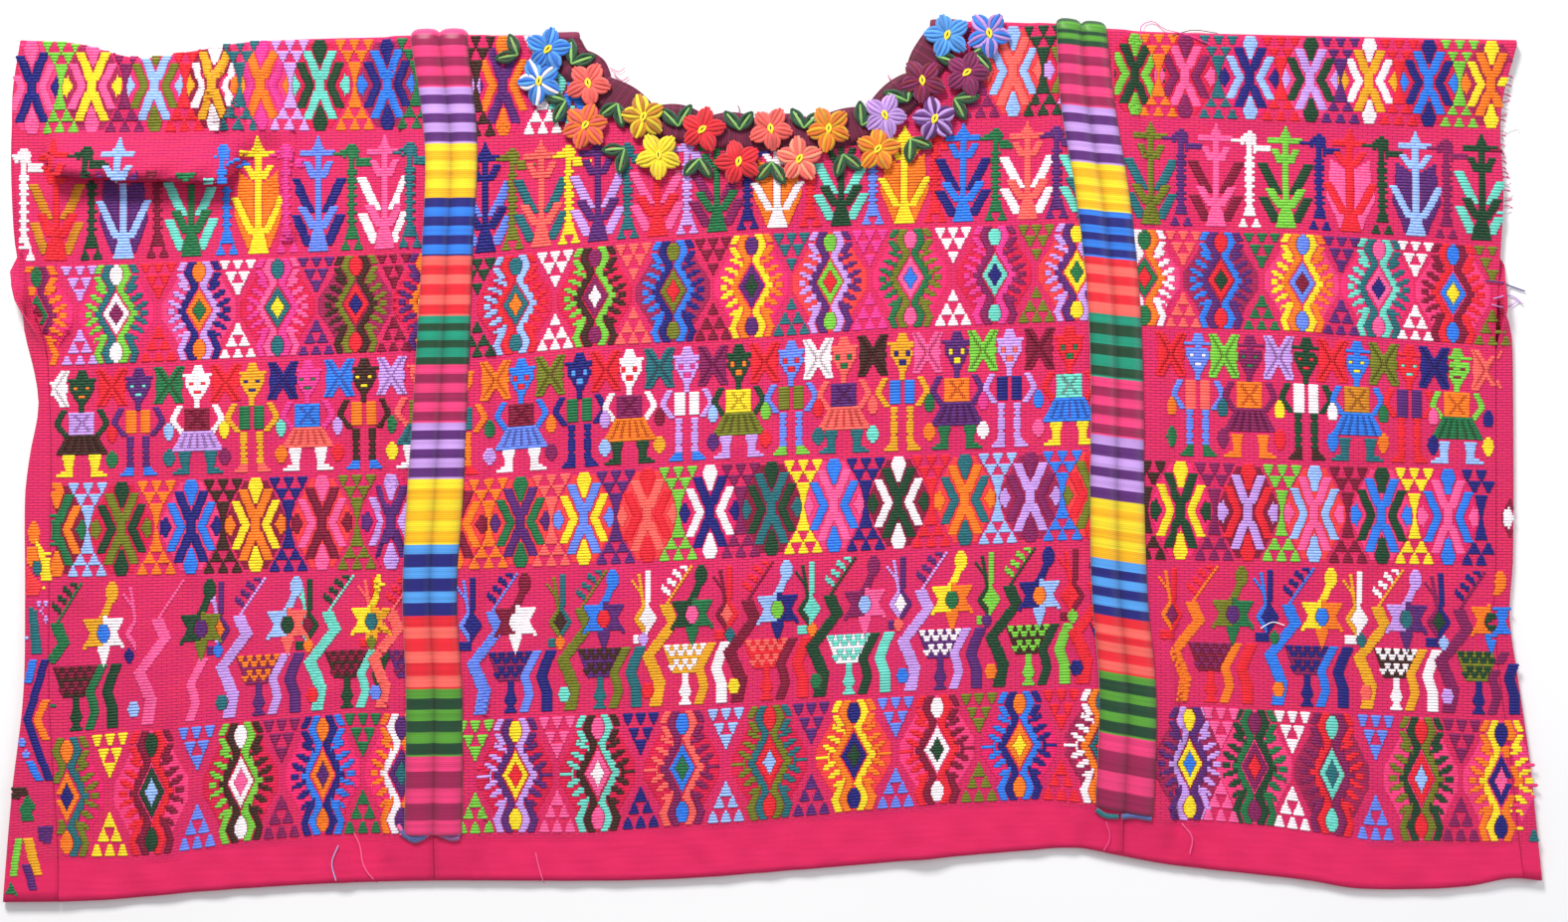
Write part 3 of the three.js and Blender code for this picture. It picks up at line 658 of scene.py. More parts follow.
# replaces an object's mesh by what its modifiers make, and takes the modifiers off
def bakeModifiers(target):
    evaluated = target.evaluated_get(bpy.context.evaluated_depsgraph_get())
    made = bpy.data.meshes.new_from_object(evaluated)
    target.modifiers.clear()
    old = target.data
    target.data = made
    made.name = target.name
    bpy.data.meshes.remove(old)


def makePanel(name, side, material):
    outer, inner = shellRows({"left": -1, "centre": 0, "right": 1}[side])
    rows, across = outer.shape[:2]
    points = toFrame(np.concatenate([outer.reshape(-1, 3), inner.reshape(-1, 3)]))
    panel = newObject(name, points, shellFaces(rows, across))
    turnOutwards(panel)
    if side == "centre":
        cutNeck(panel)
    addWeaveMap(panel, side)
    panel.data.materials.clear()
    panel.data.materials.append(material)
    print(name, len(panel.data.polygons), "faces")
    return panel


# materials
def newMaterial(name, roughness, sheen=0.0, sheenRoughness=0.5):
    material = bpy.data.materials.new(name)
    material.use_nodes = True
    surface = material.node_tree.nodes["Principled BSDF"]
    surface.inputs["Roughness"].default_value = roughness
    surface.inputs["Specular IOR Level"].default_value = 0.28
    surface.inputs["Sheen Weight"].default_value = sheen
    surface.inputs["Sheen Roughness"].default_value = sheenRoughness
    return material, material.node_tree, surface


def addNode(tree, kind, **values):
    node = tree.nodes.new(kind)
    for key, value in values.items():
        if hasattr(node, key):
            setattr(node, key, value)
        else:
            node.inputs[key].default_value = value
    return node


def maths(tree, operation, first, second=None, clamp=False):
    node = tree.nodes.new("ShaderNodeMath")
    node.operation, node.use_clamp = operation, clamp
    for socket, value in zip(node.inputs, (first, second)):
        if value is None:
            continue
        if isinstance(value, (int, float)):
            socket.default_value = value
        else:
            tree.links.new(value, socket)
    return node.outputs[0]


def mixColour(tree, factor, first, second, blend="MIX"):
    node = tree.nodes.new("ShaderNodeMix")
    node.data_type, node.blend_type = "RGBA", blend
    for socket, value in ((node.inputs[0], factor), (node.inputs[6], first), (node.inputs[7], second)):
        if isinstance(value, (int, float)):
            socket.default_value = value
        elif isinstance(value, (tuple, list, np.ndarray)):
            socket.default_value = (*value, 1) if len(value) == 3 else value
        else:
            tree.links.new(value, socket)
    return node.outputs[2]


# spun fibre seen close: a soft uneven tone and fine hairs along the thread, shared by every thread
def makeFibreGroup():
    group = bpy.data.node_groups.new("spunFibre", "ShaderNodeTree")
    for name, kind, value in (("Colour", "NodeSocketColor", None), ("Grain", "NodeSocketFloat", 900.0),
                              ("Unevenness", "NodeSocketFloat", 0.25), ("Depth", "NodeSocketFloat", 0.0002)):
        socket = group.interface.new_socket(name, in_out="INPUT", socket_type=kind)
        if value is not None:
            socket.default_value = value
    group.interface.new_socket("Colour", in_out="OUTPUT", socket_type="NodeSocketColor")
    group.interface.new_socket("Normal", in_out="OUTPUT", socket_type="NodeSocketVector")
    inside, outside = group.nodes.new("NodeGroupInput"), group.nodes.new("NodeGroupOutput")
    place = group.nodes.new("ShaderNodeTexCoord")
    fine = addNode(group, "ShaderNodeTexNoise", Detail=3.0, Roughness=0.6)
    group.links.new(place.outputs["Object"], fine.inputs["Vector"])
    group.links.new(inside.outputs["Grain"], fine.inputs["Scale"])
    coarse = addNode(group, "ShaderNodeTexNoise", Scale=60.0, Detail=2.0)
    group.links.new(place.outputs["Object"], coarse.inputs["Vector"])
    both = maths(group, "ADD", maths(group, "MULTIPLY", fine.outputs[0], 0.6),
                 maths(group, "MULTIPLY", coarse.outputs[0], 0.4))
    tone = maths(group, "ADD", 1.0, maths(group, "MULTIPLY", maths(group, "SUBTRACT", both, 0.5),
                                          maths(group, "MULTIPLY", inside.outputs["Unevenness"], 2.0)))
    grey = group.nodes.new("ShaderNodeCombineColor")
    for socket in grey.inputs[:3]:
        group.links.new(tone, socket)
    coloured = mixColour(group, 1.0, inside.outputs["Colour"], grey.outputs[0], "MULTIPLY")
    group.links.new(coloured, outside.inputs["Colour"])
    bump = group.nodes.new("ShaderNodeBump")
    bump.inputs["Strength"].default_value = 0.7
    group.links.new(inside.outputs["Depth"], bump.inputs["Distance"])
    group.links.new(fine.outputs[0], bump.inputs["Height"])
    group.links.new(bump.outputs[0], outside.inputs["Normal"])
    return group


fibreGroup = makeFibreGroup()


def threadMaterial(name, roughness, sheen, grain=900.0, unevenness=0.3, depth=0.0002):
    material, tree, surface = newMaterial(name, roughness, sheen)
    shade = addNode(tree, "ShaderNodeAttribute", attribute_name="shade")
    fibre = tree.nodes.new("ShaderNodeGroup")
    fibre.node_tree = fibreGroup
    for key, value in (("Grain", grain), ("Unevenness", unevenness), ("Depth", depth)):
        fibre.inputs[key].default_value = value
    tree.links.new(shade.outputs["Color"], fibre.inputs["Colour"])
    tree.links.new(fibre.outputs["Colour"], surface.inputs["Base Color"])
    tree.links.new(fibre.outputs["Normal"], surface.inputs["Normal"])
    return material


# the woven ground: plain weave in the hem, and dense coral, red and pink picks above it
def groundMaterial():
    material, tree, surface = newMaterial("magentaCloth", 0.82, 0.05)
    weave = addNode(tree, "ShaderNodeUVMap", uv_map="weave")
    brocaded = addNode(tree, "ShaderNodeAttribute", attribute_name="brocaded").outputs["Fac"]
    stretched = addNode(tree, "ShaderNodeMapping")
    stretched.inputs["Scale"].default_value = (0.03, 0.6, 1)
    tree.links.new(weave.outputs[0], stretched.inputs["Vector"])
    streaks = addNode(tree, "ShaderNodeTexNoise", Scale=1.0, Detail=4.0, Roughness=0.65)
    tree.links.new(stretched.outputs[0], streaks.inputs["Vector"])
    wide = addNode(tree, "ShaderNodeMapping")
    wide.inputs["Scale"].default_value = (0.016, 0.02, 1)
    tree.links.new(weave.outputs[0], wide.inputs["Vector"])
    clouds = addNode(tree, "ShaderNodeTexNoise", Scale=1.0, Detail=3.0)
    tree.links.new(wide.outputs[0], clouds.inputs["Vector"])
    bricks = addNode(tree, "ShaderNodeTexBrick", offset=0.5, squash=1.0, **{
        "Scale": 1.0, "Mortar Size": 0.16, "Mortar Smooth": 1.0, "Bias": -0.2, "Brick Width": 5.6,
        "Row Height": 1.0, "Color1": (*linear((240, 58, 96)), 1), "Color2": (*linear((224, 40, 112)), 1),
        "Mortar": (*linear((138, 8, 58)), 1),
    })
    tree.links.new(weave.outputs[0], bricks.inputs["Vector"])
    picked = mixColour(tree, maths(tree, "MULTIPLY", streaks.outputs[0], 0.9), bricks.outputs["Color"],
                       linear((220, 34, 74)))
    clouded = mixColour(tree, maths(tree, "MULTIPLY", clouds.outputs[0], 0.7), picked, linear((206, 34, 112)))
    plainTone = mixColour(tree, streaks.outputs[0], linear((216, 28, 86)), linear((238, 42, 104)))
    tree.links.new(mixColour(tree, brocaded, plainTone, clouded), surface.inputs["Base Color"])
    place = tree.nodes.new("ShaderNodeTexCoord")
    weaves = []
    for direction in ("X", "Y"):
        wave = addNode(tree, "ShaderNodeTexWave", bands_direction=direction, **{
            "Scale": 480.0, "Distortion": 0.6, "Detail": 1.0, "Detail Scale": 40.0,
        })
        tree.links.new(place.outputs["Object"], wave.inputs["Vector"])
        weaves.append(wave.outputs["Fac"])
    plainHeight = maths(tree, "MULTIPLY", maths(tree, "ADD", weaves[0], weaves[1]), 0.18)
    pickHeight = maths(tree, "SUBTRACT", 1.0, bricks.outputs["Fac"])
    pickHeight = maths(tree, "ADD", pickHeight, maths(tree, "MULTIPLY", streaks.outputs[0], 0.3))
    mixed = tree.nodes.new("ShaderNodeMix")
    tree.links.new(brocaded, mixed.inputs[0])
    tree.links.new(plainHeight, mixed.inputs[2])
    tree.links.new(pickHeight, mixed.inputs[3])
    bump = addNode(tree, "ShaderNodeBump")
    bump.inputs["Strength"].default_value = 0.9
    bump.inputs["Distance"].default_value = 0.0006
    tree.links.new(mixed.outputs[0], bump.inputs["Height"])
    tree.links.new(bump.outputs[0], surface.inputs["Normal"])
    return material


clothMaterial = groundMaterial()
panels = {}
for panelName in ("left", "centre", "right"):
    panel = makePanel(f"{panelName}Cloth", panelName, clothMaterial)
    panels[panelName] = panel
    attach(panel, "root")
    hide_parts(f"{panelName}_panel")
print("cloth made")


# brocade figures, drawn as plain shapes about each figure's middle, in picture units with y down
def bar(x1, y1, x2, y2, thick):
    half = thick / 2
    return [(x1 - half, y1), (x1 + half, y1), (x2 + half, y2), (x2 - half, y2)]


def block(x1, y1, x2, y2):
    return [(x1, y1), (x2, y1), (x2, y2), (x1, y2)]


def oval(x, y, across, down):
    turns = np.arange(10) * math.pi / 5
    return [(x + across * math.cos(t), y + down * math.sin(t)) for t in turns]


def lozenge(x, y, across, down):
    return [(x, y - down), (x + across, y), (x, y + down), (x - across, y)]


def hangingTriangle(x, top, half, depth):
    return [(x - half, top), (x + half, top), (x + 1, top + depth), (x - 1, top + depth)]


def standingTriangle(x, bottom, half, depth):
    return [(x - half, bottom), (x + half, bottom), (x + 1, bottom - depth), (x - 1, bottom - depth)]


def bothSides(shapes):
    return shapes + [(dye, [(-x, y) for x, y in outline]) for dye, outline in shapes]


def upAndDown(shapes):
    return shapes + [(dye, [(x, -y) for x, y in outline]) for dye, outline in shapes]


def crossFigure(arms, brackets):
    quarter = [
        (arms, bar(13, -34, 2, -7, 10)), (brackets, bar(20.5, -23, 10, 0.5, 9.5)),
        (brackets, [(0, -20), (0, -46), (5, -45), (8, -37), (3, -22)]),
        (arms, [(19, 0), (25, -10), (31, -6), (31, 0)]), (arms, block(0, -11, 5, 0)),
    ]
    return upAndDown(bothSides(quarter))


def glassFigure(dye):
    rows = [(dye, hangingTriangle(x, -46, 7, 11)) for x in (-14, 0, 14)]
    rows += [(dye, hangingTriangle(x, -34, 7, 11)) for x in (-7, 7)]
    return upAndDown([*rows, (dye, hangingTriangle(0, -22, 7, 22))])


# a tree or a bird is drawn from its top, 0, to its foot, 1
def yAt(share):
    return 118 * share - 59


def treeFigure(first, second):
    half = [
        (first, [(0, yAt(0)), (7, yAt(0.13)), (0, yAt(0.13))]), (first, block(3, yAt(0.13), 18, yAt(0.17))),
        (first, bar(12, yAt(0.22), 4, yAt(0.37), 8)), (first, block(0, yAt(0.13), 3.5, yAt(0.8))),
        (second, bar(24, yAt(0.36), 8, yAt(0.66), 11)), (first, bar(17, yAt(0.6), 4, yAt(0.8), 10)),
        (second, bar(23, yAt(0.68), 9, yAt(0.94), 11)),
        (first, [(0, yAt(0.74)), (4, yAt(0.75)), (11, yAt(1)), (0, yAt(1))]),
    ]
    return bothSides(half)


# a tree whose second dye fills the ground between its own branches
def fullTreeFigure(first, second):
    fill = [(0, yAt(0.42)), (20, yAt(0.3)), (22, yAt(0.55)), (25, yAt(0.66)), (12, yAt(0.95)), (0, yAt(0.95))]
    branches = [(first, bar(24, yAt(0.52), 7, yAt(0.82), 9)), (first, bar(13, yAt(0.24), 4, yAt(0.36), 8))]
    stem = [
        (first, block(0, yAt(0.13), 4, yAt(0.8))),
        (first, [(0, yAt(0.76)), (4, yAt(0.77)), (11, yAt(1)), (0, yAt(1))]),
    ]
    cap = [
        (first, [(0, yAt(0)), (7, yAt(0.13)), (0, yAt(0.13))]), (first, block(3, yAt(0.12), 17, yAt(0.17))),
    ]
    return bothSides([(second, fill), *branches, *stem, *cap])


def birdFigure(dye):
    beads = [(dye, block(-5.5, yAt(v), 5.5, yAt(v + 0.035))) for v in np.arange(0.3, 0.8, 0.07)]
    return [
        (dye, oval(0, yAt(0.14), 7.5, 8)), (dye, [(-5, yAt(0.12)), (-20, yAt(0.16)), (-5, yAt(0.2))]),
        (dye, [(4, yAt(0.18)), (24, yAt(0.22)), (22, yAt(0.26)), (4, yAt(0.27))]),
        (dye, block(-3, yAt(0.2), 3, yAt(0.8))), *beads,
        (dye, [(-3, yAt(0.78)), (3, yAt(0.78)), (8, yAt(0.89)), (-8, yAt(0.89))]),
        (dye, standingTriangle(-6.5, yAt(1), 6, 11)), (dye, standingTriangle(6.5, yAt(1), 6, 11)),
    ]


zigzag = [(-54, 5), (-40, 11), (-26, 4), (0, 18.5), (26, 4), (40, 11), (54, 5)]


def diamondFigure(left, right, middle, core):
    shapes = []
    for side, inner, outer in ((-1, left, right), (1, right, left)):
        for (y1, x1), (y2, x2) in zip(zigzag, zigzag[1:]):
            shapes.append((inner, bar(side * x1, y1, side * x2, y2, 8.5)))
            if abs(y1 + y2) > 64:
                shapes.append((outer, bar(side * (x1 + 8.5), y1 * 0.98, side * (x2 + 8.5), y2 * 1.04, 7.5)))
        for y in (-25, -16.3, -7.6, 7.6, 16.3, 25):
            reach, lean = 8 + 14 * (1 - abs(y) / 26), math.copysign(2.6, y)
            tooth = [(reach, y - lean - 1.8), (reach + 7, y - 3.4), (reach + 13, y + lean - 2),
                     (reach + 14, y + lean + 1), (reach + 7, y + 3), (reach, y - lean + 1.8)]
            shapes.append((outer, [(side * x, down) for x, down in tooth]))
        shapes.append((outer, [(side * x, down) for x, down in ((24, -3.2), (38, 0), (24, 3.2))]))
    shapes += [
        (middle, lozenge(0, 0, 13, 22)), (core, lozenge(0, 0, 7, 12)),
        (middle, oval(0, -40, 7, 10)), (middle, oval(0, 40, 7, 10)),
    ]
    return shapes


def stackFigure(dye):
    rows = [(dye, hangingTriangle(x, -51, 6.6, 11)) for x in (-13, 0, 13)]
    rows += [(dye, hangingTriangle(x, -38.5, 6.6, 11)) for x in (-6.6, 6.6)]
    return upAndDown([*rows, (dye, hangingTriangle(0, -26, 6.6, 12))])


def headShapes(skin, mark):
    return bothSides([
        (skin, [(0, -58), (4, -57), (7, -49), (0, -49)]), (skin, block(0, -50, 15, -46)),
        (skin, [(0, -46), (13, -45), (12, -36), (3, -20), (0, -20)]), (skin, block(0, -22, 3, -13)),
        (mark, block(4, -40, 8, -36)), (mark, block(0, -31, 3.5, -27)),
    ])


def armShapes(skin):
    return bothSides([(skin, bar(18, -14, 25, 0, 7)), (skin, bar(25, 0, 15, 14, 7))])


def womanFigure(skin, blouse, skirt, boots, mark="ground"):
    shapes = headShapes(skin, mark) + armShapes(skin)
    shapes += [(blouse, block(-13, -13, 13, 12)), (skirt, [(-15, 12), (15, 12), (27, 34), (-27, 34)])]
    for x in (-18, -9, 0, 9, 18):
        shapes.append(("shadow", bar(x * 0.6, 15, x, 32, 1.6)))
    shapes.append(("shadow", [(-9, -10), (-7, -10), (9, 9), (7, 9)]))
    shapes.append(("shadow", [(9, -10), (7, -10), (-9, 9), (-7, 9)]))
    return shapes + bothSides([
        (boots, [(6, 35), (20, 35), (17, 50), (9, 50)]), (boots, [(9, 50), (16, 50), (28, 58), (8, 58)]),
    ])


def manFigure(skin, shirt, feet, mark="ground"):
    shapes = headShapes(skin, mark) + armShapes(skin)
    shapes += bothSides([(shirt, block(1.5, -13, 13, 13)), (skin, block(4, 14, 12, 48))])
    shapes += [("ground", block(x, y, x + 3, y + 2)) for x in (-14, -6, 3, 11) for y in range(20, 48, 7)]
    return shapes + bothSides([(feet, [(5, 48), (11, 48), (20, 58), (4, 58)])])


def basketFigure(dye):
    side = [(0, -46), (7, -58), (16, -58), (13, -48), (15, -38), (13, -28), (16, -18), (7, -18), (0, -30)]
    return bothSides([(dye, side), ("ground", block(13, -45, 16, -42)), ("ground", block(13, -34, 16, -31)),
                      ("shadow", bar(13, -57, 1, -38, 1.6)), ("shadow", bar(1, -38, 13, -19, 1.6))])


# the figures of the margin that turns over at the left, band by band
def marginFigure(part):
    if part == "one":
        return [
            ("orange", oval(-3, -6, 6.5, 12)),
            ("yellow", [(-2, -2), (6, 10), (17, 9), (13, 24), (17, 46), (6, 50), (3, 36), (0, 20)]),
            ("orange", [(-10, 8), (0, 6), (4, 34), (-10, 24)]),
            ("redCoral", [(-10, 26), (-2, 38), (5, 46), (2, 58), (-10, 56)]),
            ("teal", oval(0, 28, 5, 8)), ("navy", oval(13, 56, 5, 5)),
        ]
    if part == "two":
        rows = ((-24, (2, 9, 16, 22)), (-16, (6, 13, 20)), (-8, (9, 16, 22)), (0, (13, 20)))
        checks = [("lilac", lozenge(x, y, 3.6, 3.6)) for y, xs in rows for x in xs]
        return checks + [
            ("teal", [(-9, -22), (0, -17), (6, 28), (-6, 30)]),
            ("lilac", [(13, 4), (20, 4), (21, 31), (13, 31)]),
            ("paleBlue", [(-13, -24), (-9, -24), (-8, 14), (-13, 10)]),
        ]
    if part == "three":
        places = ((-14, -26), (-18, -14), (-20, -2), (-19, 10), (-15, 22), (-11, 34))
        return [("periwinkle", oval(x, y, 4.5, 4)) for x, y in places] + [
            ("blue", bar(-4, -60, -9, -38, 9)), ("navy", bar(8, -60, -10, 0, 9)),
            ("navy", bar(-10, 0, 12, 60, 9)), ("blue", bar(-8, 40, 2, 60, 9)),
            ("orange", bar(9, -20, 0, 0, 9)), ("orange", bar(0, 0, 9, 20, 9)),
            ("lightGreen", oval(17, 30, 5, 7)),
        ]
    if part == "four":
        return [
            ("brown", [(-26, -19), (-12, -19), (-8, -8), (-27, -6)]),
            ("green", [(-10, -10), (0, 3), (-5, 7), (-2, 17), (-15, 17), (-18, 5)]),
        ]
    return [
        ("lightGreen", bar(-18, -24, -24, 14, 8)), ("green", [(-36, 36), (-18, 36), (-26, 20)]),
        ("gold", bar(-9, -22, 0, 14, 11)), ("purple", bar(-11, 4, -3, 30, 9)),
        ("purple", [(0, -36), (17, -36), (14, -16), (2, -20)]),
    ]


def dropsFigure(upper, lower):
    return [(upper, oval(0, 12, 6, 9)), (lower, oval(0, 40, 6.5, 9))]


def deerFigure(front, back, body, weave):
    shapes = [(body, [(-23, 9), (23, 9), (13, 41), (-13, 41)])]
    for row, y in enumerate(range(9, 37, 7)):
        for column in range(-3, 4):
            x = column * 9 + (row % 2) * 4.5
            if abs(x) + 4 < 25 - (y - 9) * 0.31:
                check = [(x - 4.4, y + 0.5), (x + 4.4, y + 0.5), (x + 2, y + 6), (x - 2, y + 6)]
                shapes.append((weave, check))
    shapes.append((back, [(-4, 39), (4, 39), (3.5, 50), (7, 60), (3.5, 66), (8, 74), (-8, 74), (-3.5, 66),
                          (-7, 60), (-3.5, 50)]))
    legs = [
        (front, 13, [(-20, -34), (-12, -14), (-37, 20), (-26, 48), (-30, 74)]),
        (front, 3.5, [(-19, -33), (7, -73)]),
        (front, 10, [(27, 9), (14, 35), (19, 55), (13, 74)]),
        (back, 12, [(41, 9), (31, 35), (37, 55), (36, 74)]),
    ]
    for dye, thick, places in legs:
        for (x1, y1), (x2, y2) in zip(places, places[1:]):
            shapes.append((dye, bar(x1, y1, x2, y2, thick)))
    for share in (0.22, 0.44, 0.66, 0.88):
        x, y = -21 + 26 * share, -36 - 37 * share
        shapes.append((back, [(x, y + 2), (x - 10, y - 5), (x - 8, y - 10), (x + 1, y - 4)]))
    return shapes + [
        (front, [(-40, -40), (-52, -20), (-40, 0)]), (back, [(-40, -40), (-28, -20), (-40, 0)]),
        (weave, lozenge(-40, -20, 6.5, 11)), (back, bar(-37, -70, -37, -36, 6)),
        (front, bar(-47, -68, -42, -36, 3.5)), (front, bar(-53, -60, -44, -46, 3)),
        (back, block(-52, -4, -38, 7)),
    ]


def starFigure(left, right, core):
    points = [(0, -47), (6, -35), (22, -37), (14, -22), (22, -7), (6, -9), (0, 4)]
    shapes = [(right, [*points, (0, -22)]), (left, [(-x, y) for x, y in points] + [(0, -22)])]
    shapes += [(core, oval(0, -22, 6.5, 10)), (left, oval(9, -62, 7, 11)), (left, bar(7, -54, 1, -38, 8))]
    return shapes + [(right, [(-7, -8), (7, -8), (4, 4), (0, 12), (-4, 4)])]


def dotsFigure(upper, lower):
    return [(upper, oval(0, 2, 5.5, 7)), (lower, oval(4, 56, 6.5, 9))]


# each figure's shapes and the height it is drawn to, 0 where it keeps its own size
figures = {
    "cross": (crossFigure, 96), "glass": (glassFigure, 96), "tree": (treeFigure, 122),
    "fullTree": (fullTreeFigure, 122), "bird": (birdFigure, 122), "diamond": (diamondFigure, 108),
    "stack": (stackFigure, 106), "woman": (womanFigure, 122), "man": (manFigure, 122),
    "basket": (basketFigure, 122), "drops": (dropsFigure, 122), "deer": (deerFigure, 152),
    "star": (starFigure, 152), "dots": (dotsFigure, 152), "margin": (marginFigure, 0),
}

